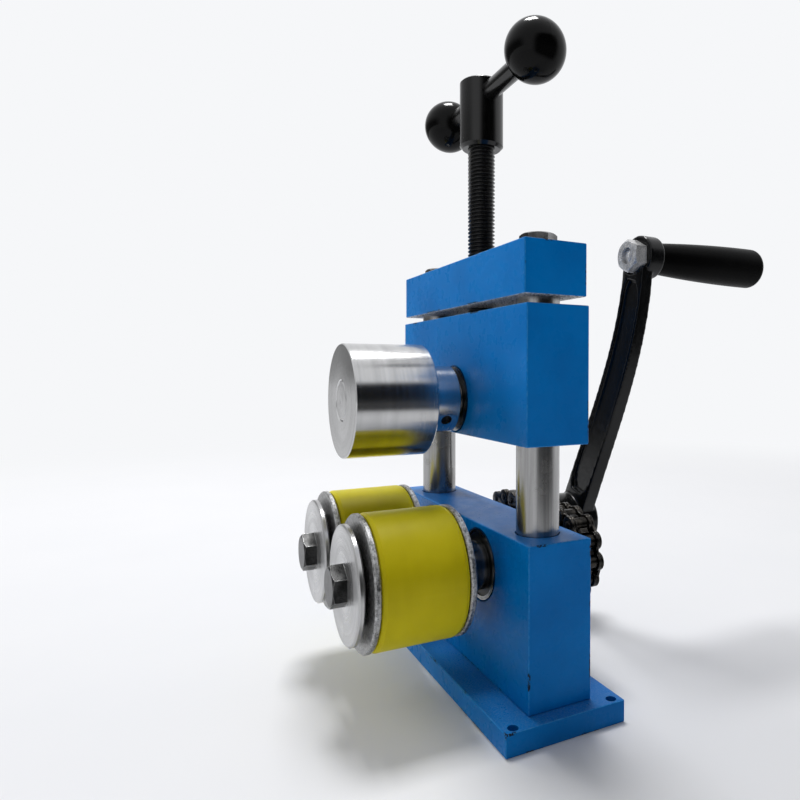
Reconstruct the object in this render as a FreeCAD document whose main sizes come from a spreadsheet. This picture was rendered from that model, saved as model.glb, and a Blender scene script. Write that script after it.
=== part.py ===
import FreeCAD, Part
import Sketcher
import math
import os

# Ring roller: two chain-coupled lower rollers turned by a crank, and a steel top roller
# on a slider that a screw presses down between two guide posts.
# Millimetres, +Z up. The origin is the centre of the base plate's underside,
# the rollers overhang to the front (-Y) and the chain and crank are at the back (+Y).

doc = FreeCAD.newDocument("ring_roller")
sheet = doc.addObject("Spreadsheet::Sheet", "Sizes")
Vector = FreeCAD.Vector


class Measure:
    """A length or angle: its number, and the sheet formula that gives it."""

    def __init__(self, number, text):
        self.number = number
        self.text = text

    def __add__(self, other):
        other = measure(other)
        return Measure(self.number + other.number, "(%s + %s)" % (self.text, other.text))

    def __sub__(self, other):
        other = measure(other)
        return Measure(self.number - other.number, "(%s - %s)" % (self.text, other.text))

    def __mul__(self, factor):
        factor = measure(factor)
        return Measure(self.number * factor.number, "%s * %s" % (self.text, factor.text))

    def __truediv__(self, divisor):
        divisor = measure(divisor)
        return Measure(self.number / divisor.number, "%s / (%s)" % (self.text, divisor.text))

    def __neg__(self):
        return Measure(-self.number, "(0 - %s)" % self.text)

    def __float__(self):
        return float(self.number)


def measure(value):
    if isinstance(value, Measure):
        return value
    return Measure(value, "(%r)" % value)


# Driving dimensions
dimensions = {
    # Base plate
    "base_foot": 9.5,  # base plate beyond the block at each end
    "base_width": 75,  # base plate along Y
    "base_thickness": 12.5,  # base plate along Z
    "mount_hole": 6,  # corner bench screw holes
    "mount_inset_x": 4.5,  # corner hole centre from the plate's end
    "mount_inset_y": 6.3,  # corner hole centre from the plate's side
    "base_screw_inset": 20,  # block screws from the block's end
    "base_screw": 8,  # their thread
    "base_screw_head": 13,  # their head
    "base_screw_head_height": 8,  # their head's height
    "base_screw_reach": 18,  # their thread length in the block
    "base_screw_key": 6,  # their hexagon socket
    # Painted column
    "column_offset": 1,  # column centre plane behind the plate's centre
    "column_depth": 40,  # block, slider and beam along Y
    "edge_round": 0.8,  # rounded edges of the painted blocks
    "block_length": 200,  # lower block along X
    "block_height": 90.5,  # lower block along Z
    "post_inset": 25,  # guide posts from the block's end
    "post_diameter": 25,  # guide posts
    "post_seat": 30,  # depth of a post in the lower block
    "post_socket": 8,  # depth of a post in the beam
    "post_relief": 0.6,  # gap round a post at the lower block's top
    "post_relief_depth": 1,  # depth of that gap
    "slider_step": 2.5,  # slider end inside the block's end
    "slider_height": 77.5,  # slider along Z
    "slider_lift": 52,  # slider underside above the block at rest
    "beam_gap": 5,  # beam above the slider at rest
    "beam_step": 5,  # top beam's end inside the block's end
    "beam_height": 30,  # top beam along Z
    # Bearings 20 x 42 x 12
    "bearing_bore": 20,  # bearing bore
    "bearing_outer": 42,  # bearing outside
    "bearing_width": 12,  # bearing width
    "inner_shoulder": 27,  # inner ring outside
    "outer_shoulder": 38,  # outer ring inside
    "ball_diameter": 6.35,  # bearing balls
    "ball_count": 9,  # balls in a bearing
    "seal_inset": 0.6,  # seal behind the bearing's face
    "seal_thickness": 1,  # seal disc
    "bore_between": 34,  # bore between two bearings
    "bore_chamfer": 1.2,  # chamfer at a bearing bore's mouth
    # Lower rollers
    "roller_gap": 1,  # between the two lower rollers
    "axis_height": 65.5,  # lower roller axes above the plate
    "roller_diameter": 76,  # lower rollers over the sleeve
    "roller_length": 57,  # lower rollers over both flanges
    "roller_back_gap": 18.4,  # rear flange in front of the block
    "sleeve_round": 3,  # rounded ends of the sleeve
    "flange_thickness": 3.5,  # steel flange rings
    "core_diameter": 50,  # steel core inside the sleeve
    "shoulder_diameter": 30,  # shaft shoulder behind a lower roller
    "spacer_diameter": 46,  # black spacer ring in front of the flange
    "spacer_thickness": 3.5,  # spacer ring
    "washer_diameter": 66,  # clamp washer
    "washer_thickness": 3.5,  # clamp washer
    "end_bolt": 14,  # end bolt thread
    "end_bolt_flats": 21,  # end bolt across flats
    "end_bolt_head": 8,  # end bolt head height
    "end_bolt_reach": 34,  # end bolt thread length behind the washer
    "shaft_setback": 1.5,  # shaft end behind the spacer's front face
    # Top roller
    "bearing_wall": 1.5,  # slider's wall below the bearings of the top roller
    "top_roller_diameter": 70,  # steel roller
    "top_roller_length": 50,  # steel roller
    "top_roller_gap": 24,  # steel roller behind face in front of the slider
    "top_hub_diameter": 43,  # hub turned in one piece with the steel roller
    "top_hub_length": 20,  # that hub
    "top_shaft_front": 25,  # top shaft inside the roller
    "top_shoulder": 26,  # top shaft shoulder on the bearing
    "roller_chamfer": 0.6,  # chamfers of the steel roller
    "grub_screw": 7,  # grub screw in the steel roller's hub
    "grub_station": 11.5,  # grub screw behind the steel roller
    "grub_turn": 36,  # grub screw below the hub's +X side in degrees
    "circlip_width": 1.2,  # circlip behind the rear slider bearing
    "circlip_height": 3.45,  # circlip across its ring
    "circlip_depth": 0.7,  # circlip in the shaft
    "shaft_tail": 4,  # top shaft behind the slider
    # Chain drive, 12.7 mm pitch
    "chain_set_back": 25.3,  # chain centre plane behind the block
    "chain_pitch": 12.7,  # roller chain pitch
    "sprocket_teeth": 11,  # teeth of each sprocket
    "chain_roller": 8.5,  # chain roller diameter
    "chain_roller_width": 9,  # chain roller width
    "chain_pin": 4.4,  # chain pin diameter
    "plate_thickness": 1.7,  # chain plates
    "plate_height": 11.6,  # chain plates
    "plate_waist": 8.4,  # chain plates between the pins
    "plate_play": 0.25,  # gap between chain plates
    "tooth_width": 7.5,  # sprocket disc
    "tooth_addendum": 2.2,  # tooth tips beyond the pitch circle
    "tooth_flare": 31,  # tooth flank angle in degrees
    "seat_play": 0.3,  # tooth seat around a chain roller
    "hub_diameter": 30,  # sprocket hub
    "hub_nose": 26,  # sprocket hub against the inner ring
    "hub_nose_length": 2,  # that nose
    "hub_screw": 6,  # grub screw in a sprocket hub
    "driven_tail": 4,  # driven shaft behind its sprocket
    # Crank
    "crank_length": 210,  # crank from shaft to grip
    "crank_lean": 16.5,  # crank from upright at rest in degrees
    "crank_bow": 9.5,  # bow of the arm towards +X
    "crank_bow_shift": 0.3,  # share by which the bow is larger near the grip
    "boss_diameter": 41,  # crank boss
    "boss_gap": 9.5,  # boss front behind the chain's centre plane
    "boss_length": 56.7,  # crank boss
    "arm_width_low": 28,  # arm at the boss
    "arm_width_high": 23,  # arm at the grip
    "arm_thickness_low": 13.5,  # arm along Y at the boss
    "arm_thickness_high": 11.3,  # arm along Y at the grip
    "arm_band": 0.6,  # share of the arm's width that its raised band takes
    "arm_rim": 0.42,  # share of the arm's thickness from its middle to its rims
    "arm_inset": 10,  # arm centre in front of the boss's rear face
    "arm_offset": 5.6,  # arm centre in front of the eye's middle
    "eye_diameter": 31,  # eye at the grip
    "eye_thickness": 13.5,  # eye at the grip
    "eye_step": 4.5,  # eye front behind the boss's rear face
    "crank_bolt": 8,  # bolt that holds the crank on its shaft
    "crank_bolt_flats": 13,  # its head across flats
    "crank_bolt_head": 5.3,  # its head
    "crank_bolt_reach": 20,  # its thread length in the shaft
    "crank_washer": 28,  # crank washer
    "crank_washer_thickness": 2.5,  # crank washer
    "spindle_diameter": 12,  # grip spindle
    "spindle_collar": 19,  # spindle collar behind the eye
    "spindle_collar_thickness": 1.8,  # spindle collar
    "nut_flats": 21,  # spindle nut across flats
    "nut_height": 10,  # spindle nut
    "spindle_recess": 1.5,  # domed spindle end inside the nut
    "grip_length": 102.5,  # grip
    "grip_start": 22.5,  # grip at the crank
    "grip_middle": 29,  # grip at its middle
    "grip_end": 31,  # grip near its end
    "grip_round": 5,  # rounded end of the grip
    "spindle_head": 18,  # spindle head in the grip's end
    "spindle_head_depth": 5,  # spindle head
    # Pressing screw and handle
    "screw_diameter": 18,  # pressing screw
    "screw_pitch": 2.5,  # its thread
    "thread_depth": 1.35,  # its thread
    "spigot_diameter": 14,  # plain end of the screw in the slider
    "thrust_collar": 26,  # collar on the spigot
    "thrust_collar_height": 6,  # that collar
    "thrust_washer_height": 2,  # bronze washer under the collar
    "thrust_pocket": 28,  # pocket round the collar
    "thrust_depth": 13,  # pocket in the slider's top
    "retainer_length": 58,  # retainer plate along X
    "retainer_width": 30,  # retainer plate along Y
    "retainer_screw_spacing": 44,  # retainer screws
    "retainer_screw": 5,  # retainer screws
    "retainer_head_diameter": 10,  # countersunk heads
    "retainer_screw_length": 16,  # retainer screws
    "retainer_screw_key": 3,  # their round key hole
    "hub_height": 44,  # handle hub
    "hub_rise": 76.5,  # handle hub above the beam at rest
    "handle_hub_diameter": 29,  # handle hub
    "hub_socket": 22,  # screw in the hub
    "hub_chamfer": 2,  # lower chamfer of the hub
    "lever_drop": 9.7,  # lever bar below the hub's top
    "lever_diameter": 12,  # lever bar
    "lever_tilt": 1.2,  # lever bar from level in degrees
    "knob_diameter": 36,  # ball knobs
    "knob_near": 71.2,  # ball centre from the screw on the +X side
    "knob_far": 55.3,  # ball centre from the screw on the -X side
    "knob_socket": 14,  # lever bar inside a knob
    # Post bolts and clearances
    "post_bolt": 14,  # bolts through the beam into the posts
    "post_bolt_flats": 19,  # their heads across flats
    "post_bolt_head": 6.4,  # their heads
    "post_bolt_reach": 30,  # their thread length in the posts
    "seat": 0.02,  # radial clearance of parts that are fixed together
    "running": 0.06,  # radial clearance of parts that turn or slide
    "apart": 0.3,  # gap between faces that move past each other
}


class Sizes:
    """The driving dimensions, each held in one named cell of the sheet."""


size = Sizes()
for row, (alias, number) in enumerate(dimensions.items(), 1):
    sheet.set("A%d" % row, alias)
    sheet.set("B%d" % row, str(number))
    sheet.setAlias("B%d" % row, alias)
    setattr(size, alias, Measure(float(number), "Sizes.%s" % alias))
doc.recompute()

pieces = []
rotations = {
    "Y": FreeCAD.Rotation(),
    "Z": FreeCAD.Rotation(Vector(1, 0, 0), 90),
}


def place(piece, x, y, z, rotation=None):
    """Put a piece at formulas of the sheet."""
    x, y, z = measure(x), measure(y), measure(z)
    piece.Placement = FreeCAD.Placement(Vector(x.number, y.number, z.number), rotation or FreeCAD.Rotation())
    for axis, value in zip("xyz", (x, y, z)):
        piece.setExpression("Placement.Base.%s" % axis, value.text)


def bind(feature, name, value):
    feature.setExpression(name, measure(value).text)


def origin_plane(body, role):
    return [item for item in body.Origin.OriginFeatures if item.Role == role][0]


def new_body(label):
    body = doc.addObject("PartDesign::Body", label)
    body.Label = label
    pieces.append(body)
    return body


def new_sketch(body, role, offset=0):
    sketch = body.newObject("Sketcher::SketchObject", body.Label + "_sketch")
    sketch.AttachmentSupport = [(origin_plane(body, role), "")]
    sketch.MapMode = "FlatFace"
    offset = measure(offset)
    sketch.AttachmentOffset = FreeCAD.Placement(Vector(0, 0, offset.number), FreeCAD.Rotation())
    sketch.setExpression("AttachmentOffset.Base.z", offset.text)
    return sketch


def pin_point(sketch, geometry, point, x, y):
    """Fix a sketch point at two formulas."""
    for kind, value, axis in (("DistanceX", measure(x), -2), ("DistanceY", measure(y), -1)):
        if abs(value.number) < 1e-9:
            sketch.addConstraint(Sketcher.Constraint("PointOnObject", geometry, point, axis))
            continue
        index = sketch.addConstraint(Sketcher.Constraint(kind, -1, 1, geometry, point, value.number))
        name = "%s_%d_%d" % (kind, geometry + 1, point)
        sketch.renameConstraint(index, name)
        sketch.setExpression("Constraints.%s" % name, value.text)


def outline(sketch, corners):
    """Closed polygon through formula corners."""
    corners = [(measure(x), measure(y)) for x, y in corners]
    points = [Vector(x.number, y.number, 0) for x, y in corners]
    count = len(points)
    for index in range(count):
        sketch.addGeometry(Part.LineSegment(points[index], points[(index + 1) % count]), False)
    for index in range(count):
        sketch.addConstraint(Sketcher.Constraint("Coincident", index, 2, (index + 1) % count, 1))
    for index, (x, y) in enumerate(corners):
        pin_point(sketch, index, 1, x, y)


def circles(sketch, centres, diameter):
    diameter = measure(diameter)
    for index, (x, y) in enumerate(centres):
        centre = Vector(measure(x).number, measure(y).number, 0)
        sketch.addGeometry(Part.Circle(centre, Vector(0, 0, 1), diameter.number / 2), False)
        pin_point(sketch, index, 3, x, y)
        radius = sketch.addConstraint(Sketcher.Constraint("Radius", index, diameter.number / 2))
        sketch.renameConstraint(radius, "Radius_%d" % (index + 1))
        sketch.setExpression("Constraints.Radius_%d" % (index + 1), (diameter / 2).text)


def pad(body, sketch, height):
    feature = body.newObject("PartDesign::Pad", body.Label + "_pad")
    feature.Profile = sketch
    feature.Length = measure(height).number
    bind(feature, "Length", height)
    return feature


def pocket(body, sketch, depth, reverse=False):
    """Cut a sketch into its body, and make sure that it did cut."""
    doc.recompute()
    before = body.Shape.Volume
    feature = body.newObject("PartDesign::Pocket", body.Label + "_pocket")
    feature.Profile = sketch
    feature.Length = measure(depth).number
    bind(feature, "Length", depth)
    feature.Reversed = reverse
    doc.recompute()
    if body.Shape.Volume >= before - 1e-6:
        raise ValueError(body.Label + ": a pocket cuts nothing")
    return feature


def revolve(body, sketch, cut=False):
    kind = "Groove" if cut else "Revolution"
    feature = body.newObject("PartDesign::" + kind, body.Label + "_turned")
    feature.Profile = sketch
    feature.ReferenceAxis = (sketch, ["V_Axis"])
    feature.Angle = 360
    return feature


def turned(label, corners, x, y, z, axis="Y"):
    """A lathe piece: corners are (radius, station) from its own front end."""
    body = new_body(label)
    sketch = new_sketch(body, "XY_Plane")
    outline(sketch, corners)
    revolve(body, sketch)
    place(body, x, y, z, rotations[axis])
    return body


def ring_corners(outer, inner, length, chamfer=0):
    """Outline of a ring with chamfered outer edges, from diameters."""
    outer, inner, length, chamfer = (measure(v) for v in (outer, inner, length, chamfer))
    if chamfer.number == 0:
        return [(inner / 2, 0), (outer / 2, 0), (outer / 2, length), (inner / 2, length)]
    return [
        (inner / 2, 0),
        (outer / 2 - chamfer, 0),
        (outer / 2, chamfer),
        (outer / 2, length - chamfer),
        (outer / 2 - chamfer, length),
        (inner / 2, length),
    ]


def block(label, length, depth, height, x, y, z):
    """A painted block with rounded edges, standing on its own XY plane."""
    body = new_body(label)
    sketch = new_sketch(body, "XY_Plane")
    half_length, half_depth = measure(length) / 2, measure(depth) / 2
    outline(sketch, [
        (-half_length, -half_depth),
        (half_length, -half_depth),
        (half_length, half_depth),
        (-half_length, half_depth),
    ])
    base = pad(body, sketch, height)
    doc.recompute()
    rounding = body.newObject("PartDesign::Fillet", label + "_edges")
    rounding.Base = (base, ["Edge%d" % (index + 1) for index in range(len(base.Shape.Edges))])
    rounding.Radius = size.edge_round.number
    bind(rounding, "Radius", size.edge_round)
    place(body, x, y, z)
    return body


def drill(body, role, offset, centres, diameter, depth, reverse=False):
    """Round pockets that start at an offset from one of the body's planes."""
    sketch = new_sketch(body, role, offset)
    circles(sketch, centres, diameter)
    return pocket(body, sketch, depth, reverse)


def mouth_chamfer(body, x, z, face, inward):
    """Conical chamfer of a bearing bore's mouth."""
    sketch = body.newObject("Sketcher::SketchObject", body.Label + "_mouth")
    sketch.AttachmentSupport = [(origin_plane(body, "XY_Plane"), "")]
    sketch.MapMode = "FlatFace"
    sketch.AttachmentOffset = FreeCAD.Placement(
        Vector(measure(x).number, measure(face).number, measure(z).number), FreeCAD.Rotation())
    for axis, value in zip("xyz", (x, face, z)):
        sketch.setExpression("AttachmentOffset.Base.%s" % axis, measure(value).text)
    bore = size.bearing_outer / 2 + size.seat
    chamfer = size.bore_chamfer
    outline(sketch, [
        (bore - chamfer, 0),
        (bore + chamfer, 0),
        (bore - chamfer, chamfer * (2 * inward)),
    ])
    doc.recompute()
    before = body.Shape.Volume
    groove = revolve(body, sketch, cut=True)
    doc.recompute()
    if body.Shape.Volume >= before - 1e-6:
        raise ValueError(body.Label + ": a bore mouth cuts nothing")
    return groove


# Hexagon heads: angle of the turned chamfer, and the flat face as a share of the flats
head_chamfer = 30
face_share = 0.97


def hexagon(radius_in, rotation_degrees):
    """Corners of a hexagon by its inner radius, as plain points."""
    corner = radius_in / math.cos(math.pi / 6)
    turn = math.radians(rotation_degrees)
    return [
        Vector(corner * math.cos(turn + k * math.pi / 3), 0, corner * math.sin(turn + k * math.pi / 3))
        for k in range(7)
    ]


def hex_head(flats, height, turn=90):
    """Hexagon head or nut along +Y from y = 0, its outer corners chamfered."""
    prism = Part.Face(Part.makePolygon(hexagon(flats / 2, turn))).extrude(Vector(0, height, 0))
    slope = math.tan(math.radians(head_chamfer))
    turned_face = flats / 2 * face_share
    cone = Part.makeCone(turned_face, turned_face + height / slope, height, Vector(0, 0, 0), Vector(0, 1, 0))
    return prism.common(cone)


def bolt_shape(thread, flats, head, reach, turn=90):
    """Hexagon bolt whose head starts at y = 0 and whose thread points to +Y."""
    shank = Part.makeCylinder(thread / 2, reach, Vector(0, head, 0), Vector(0, 1, 0))
    tip = Part.makeCone(
        thread / 2, thread / 2 - thread / 10, thread / 10,
        Vector(0, head + reach, 0), Vector(0, 1, 0))
    return hex_head(flats, head, turn).fuse([shank, tip]).removeSplitter()


def feature(label, shapes, position=(0, 0, 0), rotation=None):
    """A piece, or a group of like pieces, whose shape is made directly."""
    item = doc.addObject("Part::Feature", label)
    item.Label = label
    item.Shape = shapes if isinstance(shapes, Part.Shape) else Part.makeCompound(shapes)
    item.Placement = FreeCAD.Placement(
        Vector(*(float(value) for value in position)), rotation or FreeCAD.Rotation())
    pieces.append(item)
    return item


# Levels and stations that several pieces share
plate_top = size.base_thickness
block_top = plate_top + size.block_height
slider_bottom = block_top + size.slider_lift
slider_top = slider_bottom + size.slider_height
beam_bottom = slider_top + size.beam_gap
beam_top = beam_bottom + size.beam_height
lower_axis = plate_top + size.axis_height
top_axis_drop = size.bearing_outer / 2 + size.bearing_wall
upper_axis = slider_bottom + top_axis_drop
column = size.column_offset
front_face = column - size.column_depth / 2
back_face = column + size.column_depth / 2
half_depth = size.column_depth / 2
block_end = size.block_length / 2
base_end = block_end + size.base_foot
base_screw_x = block_end - size.base_screw_inset
post_x = block_end - size.post_inset
roller_x = (size.roller_diameter + size.roller_gap) / 2
sides = (("left", -1), ("right", 1))


def make_base_plate():
    body = block("base_plate", base_end * 2, size.base_width, size.base_thickness, 0, 0, 0)
    x = base_end - size.mount_inset_x
    y = size.base_width / 2 - size.mount_inset_y
    corners = [(x, y), (-x, y), (-x, -y), (x, -y)]
    drill(body, "XY_Plane", 0, corners, size.mount_hole, size.base_thickness, True)
    seats = [(base_screw_x, column), (-base_screw_x, column)]
    drill(body, "XY_Plane", 0, seats, size.base_screw + size.seat * 2, size.base_thickness, True)
    head_room = size.base_screw_head_height + size.apart
    drill(body, "XY_Plane", 0, seats, size.base_screw_head + size.apart * 2, head_room, True)


def make_base_screws():
    """Two socket head screws, put in from below."""
    shapes = []
    head = size.base_screw_head_height.number
    hexagon_depth = head / 2
    for side in (-1, 1):
        centre = Vector(side * base_screw_x.number, column.number, size.apart.number)
        grip = size.base_thickness.number - size.apart.number - head
        shank_length = grip + size.base_screw_reach.number
        body = Part.makeCylinder(size.base_screw_head.number / 2, head, centre)
        shank = Part.makeCylinder(size.base_screw.number / 2, shank_length, centre + Vector(0, 0, head))
        socket = Part.Face(Part.makePolygon(hexagon(size.base_screw_key.number / 2, 0)))
        socket = socket.extrude(Vector(0, hexagon_depth, 0))
        socket.rotate(Vector(0, 0, 0), Vector(1, 0, 0), 90)
        socket.translate(centre)
        shapes.append(body.fuse(shank).cut(socket))
    feature("base_screws", shapes)


def bearing_bores(body, x, z):
    """Two bearing seats with a narrower bore between them, along Y."""
    width = size.bearing_width
    seat = size.bearing_outer + size.seat * 2
    drill(body, "XZ_Plane", half_depth, [(x, z)], size.bore_between, size.column_depth)
    drill(body, "XZ_Plane", half_depth, [(x, z)], seat, width)
    drill(body, "XZ_Plane", -half_depth, [(x, z)], seat, width, True)
    mouth_chamfer(body, x, z, -half_depth, 1)
    mouth_chamfer(body, x, z, half_depth, -1)


def make_lower_block():
    body = block("lower_block", size.block_length, size.column_depth, size.block_height, 0, column, plate_top)
    for side in (-1, 1):
        bearing_bores(body, roller_x * side, size.axis_height)
    seats = [(-post_x, 0), (post_x, 0)]
    drill(body, "XY_Plane", size.block_height, seats, size.post_diameter + size.seat * 2, size.post_seat)
    relief = size.post_diameter + size.post_relief * 2
    drill(body, "XY_Plane", size.block_height, seats, relief, size.post_relief_depth)
    threads = [(-base_screw_x, 0), (base_screw_x, 0)]
    drill(body, "XY_Plane", 0, threads, size.base_screw + size.seat * 2, size.base_screw_reach + size.apart, True)


def make_posts():
    length = size.post_seat + size.slider_lift + size.slider_height + size.beam_gap + size.post_socket
    chamfer = size.edge_round
    radius = size.post_diameter / 2
    thread = size.post_bolt / 2 + size.seat
    depth = size.post_bolt_reach + size.post_bolt / 10 + size.apart
    for name, side in sides:
        turned("guide_post_" + name, [
            (0, 0),
            (radius - chamfer, 0),
            (radius, chamfer),
            (radius, length - chamfer),
            (radius - chamfer, length),
            (thread, length),
            (thread, length - depth),
            (0, length - depth),
        ], post_x * side, column, block_top - size.post_seat, "Z")


def make_post_bolts():
    length = size.beam_height.number - size.post_socket.number + size.post_bolt_reach.number
    shapes = []
    for side in (-1, 1):
        shape = bolt_shape(size.post_bolt.number, size.post_bolt_flats.number, size.post_bolt_head.number, length, 0)
        shape.rotate(Vector(0, 0, 0), Vector(1, 0, 0), -90)
        shape.translate(Vector(side * post_x.number, column.number, beam_top.number + size.post_bolt_head.number))
        shapes.append(shape)
    feature("post_bolts", shapes)


def make_top_beam():
    length = (block_end - size.beam_step) * 2
    body = block("top_beam", length, size.column_depth, size.beam_height, 0, column, beam_bottom)
    seats = [(-post_x, 0), (post_x, 0)]
    drill(body, "XY_Plane", 0, seats, size.post_diameter + size.seat * 2, size.post_socket, True)
    drill(body, "XY_Plane", 0, seats, size.post_bolt + size.apart * 2, size.beam_height, True)
    drill(body, "XY_Plane", 0, [(0, 0)], size.screw_diameter + size.running * 2, size.beam_height, True)


def make_slider():
    length = (block_end - size.slider_step) * 2
    body = block("slider_block", length, size.column_depth, size.slider_height, 0, column, slider_bottom)
    guides = [(-post_x, 0), (post_x, 0)]
    drill(body, "XY_Plane", 0, guides, size.post_diameter + size.running * 2, size.slider_height, True)
    bearing_bores(body, measure(0), top_axis_drop)
    top = size.slider_height
    drill(body, "XY_Plane", top, [(0, 0)], size.thrust_pocket, size.thrust_depth)
    recess = new_sketch(body, "XY_Plane", top)
    half_x = size.retainer_length / 2 + size.seat
    half_y = size.retainer_width / 2 + size.seat
    outline(recess, [(-half_x, -half_y), (half_x, -half_y), (half_x, half_y), (-half_x, half_y)])
    pocket(body, recess, retainer_thickness())
    screws = [(-size.retainer_screw_spacing / 2, 0), (size.retainer_screw_spacing / 2, 0)]
    depth = size.retainer_screw_length + size.apart
    drill(body, "XY_Plane", top, screws, size.retainer_screw + size.seat * 2, depth)


def retainer_thickness():
    """What the collar, its washer and two running gaps leave of the pocket."""
    return size.thrust_depth - size.thrust_washer_height - size.thrust_collar_height - size.apart * 2


def make_retainer():
    thickness = retainer_thickness()
    body = new_body("screw_retainer_plate")
    sketch = new_sketch(body, "XY_Plane")
    half_x, half_y = size.retainer_length / 2, size.retainer_width / 2
    outline(sketch, [(-half_x, -half_y), (half_x, -half_y), (half_x, half_y), (-half_x, half_y)])
    pad(body, sketch, thickness)
    drill(body, "XY_Plane", 0, [(0, 0)], size.spigot_diameter + size.running * 2, thickness, True)
    place(body, 0, column, slider_top - thickness)
    centres = [(-size.retainer_screw_spacing / 2, 0), (size.retainer_screw_spacing / 2, 0)]
    drill(body, "XY_Plane", 0, centres, size.retainer_screw + size.seat * 2, thickness, True)
    head = size.retainer_head_diameter / 2
    shank = size.retainer_screw / 2
    cone = head - shank
    for screw_x, _ in centres:
        sketch = body.newObject("Sketcher::SketchObject", "screw_retainer_plate_sink")
        sketch.AttachmentSupport = [(origin_plane(body, "XZ_Plane"), "")]
        sketch.MapMode = "FlatFace"
        sketch.AttachmentOffset = FreeCAD.Placement(
            Vector(screw_x.number, thickness.number, 0), FreeCAD.Rotation())
        sketch.setExpression("AttachmentOffset.Base.x", screw_x.text)
        sketch.setExpression("AttachmentOffset.Base.y", thickness.text)
        outline(sketch, [(0, 0), (head + size.seat, 0), (shank + size.seat, -cone), (0, -cone)])
        doc.recompute()
        revolve(body, sketch, cut=True)
    turned("thrust_washer", ring_corners(
        size.thrust_collar, size.spigot_diameter + size.running * 2, size.thrust_washer_height),
        0, column, slider_top - size.thrust_depth, "Z")
    screws = []
    for screw_x, _ in centres:
        top = Vector(screw_x.number, column.number, slider_top.number)
        cone_shape = Part.makeCone(head.number, shank.number, cone.number, top, Vector(0, 0, -1))
        length = size.retainer_screw_length.number
        shank_shape = Part.makeCylinder(shank.number, length, top, Vector(0, 0, -1))
        key = size.retainer_screw_key.number / 2
        socket = Part.makeCylinder(key, cone.number - size.apart.number, top, Vector(0, 0, -1))
        screws.append(cone_shape.fuse(shank_shape).cut(socket))
    feature("retainer_screws", screws)


def bearing_shapes():
    """One bearing along +Y from y = 0: outer ring, inner ring, balls and two seals."""
    width = size.bearing_width.number
    ball = size.ball_diameter.number / 2
    inner, outer = size.inner_shoulder.number / 2, size.outer_shoulder.number / 2
    pitch = (inner + outer) / 2
    bore, outside = size.bearing_bore.number / 2, size.bearing_outer.number / 2
    axis = Vector(0, 1, 0)
    middle = Vector(0, width / 2, 0)
    race = Part.makeTorus(pitch, ball + size.seat.number, middle, axis)
    step = size.seal_inset.number + size.seal_thickness.number
    outer_ring = Part.makeCylinder(outside, width, Vector(), axis)
    outer_ring = outer_ring.cut(Part.makeCylinder(outer, width, Vector(), axis)).cut(race)
    inner_ring = Part.makeCylinder(inner, width, Vector(), axis)
    inner_ring = inner_ring.cut(Part.makeCylinder(bore, width, Vector(), axis)).cut(race)
    balls = []
    count = round(size.ball_count.number)
    for index in range(count):
        angle = 2 * math.pi * index / count
        balls.append(Part.makeSphere(ball, Vector(pitch * math.cos(angle), width / 2, pitch * math.sin(angle))))
    seals = []
    for start in (size.seal_inset.number, width - step):
        disc = Part.makeCylinder(outer, size.seal_thickness.number, Vector(0, start, 0), axis)
        hole = Part.makeCylinder(
            inner + size.running.number, size.seal_thickness.number, Vector(0, start, 0), axis)
        seals.append(disc.cut(hole))
    return outer_ring, inner_ring, balls, seals


def moved(shape, offset):
    copy = shape.copy()
    copy.translate(offset)
    return copy


def make_bearings():
    outer_ring, inner_ring, balls, seals = bearing_shapes()
    stations = (front_face.number, back_face.number - size.bearing_width.number)
    lower = [Vector(side * roller_x.number, y, lower_axis.number) for side in (-1, 1) for y in stations]
    upper = [Vector(0, y, upper_axis.number) for y in stations]
    for prefix, places in (("lower", lower), ("slider", upper)):
        feature(prefix + "_bearing_outer_rings", [moved(outer_ring, p) for p in places])
        feature(prefix + "_bearing_balls", [moved(ball, p) for p in places for ball in balls])
        feature(prefix + "_bearing_seals", [moved(seal, p) for p in places for seal in seals])
    feature("drive_bearing_inner_rings", [moved(inner_ring, p) for p in lower[:2]])
    feature("driven_bearing_inner_rings", [moved(inner_ring, p) for p in lower[2:]])
    feature("slider_bearing_inner_rings", [moved(inner_ring, p) for p in upper])


# Stations of the lower rollers along Y
roller_back = front_face - size.roller_back_gap
roller_front = roller_back - size.roller_length
spacer_front = roller_front - size.spacer_thickness
washer_front = spacer_front - size.washer_thickness
shaft_front = spacer_front + size.shaft_setback
chain_plane = back_face + size.chain_set_back
boss_front = chain_plane + size.boss_gap
boss_back = boss_front + size.boss_length


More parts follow.
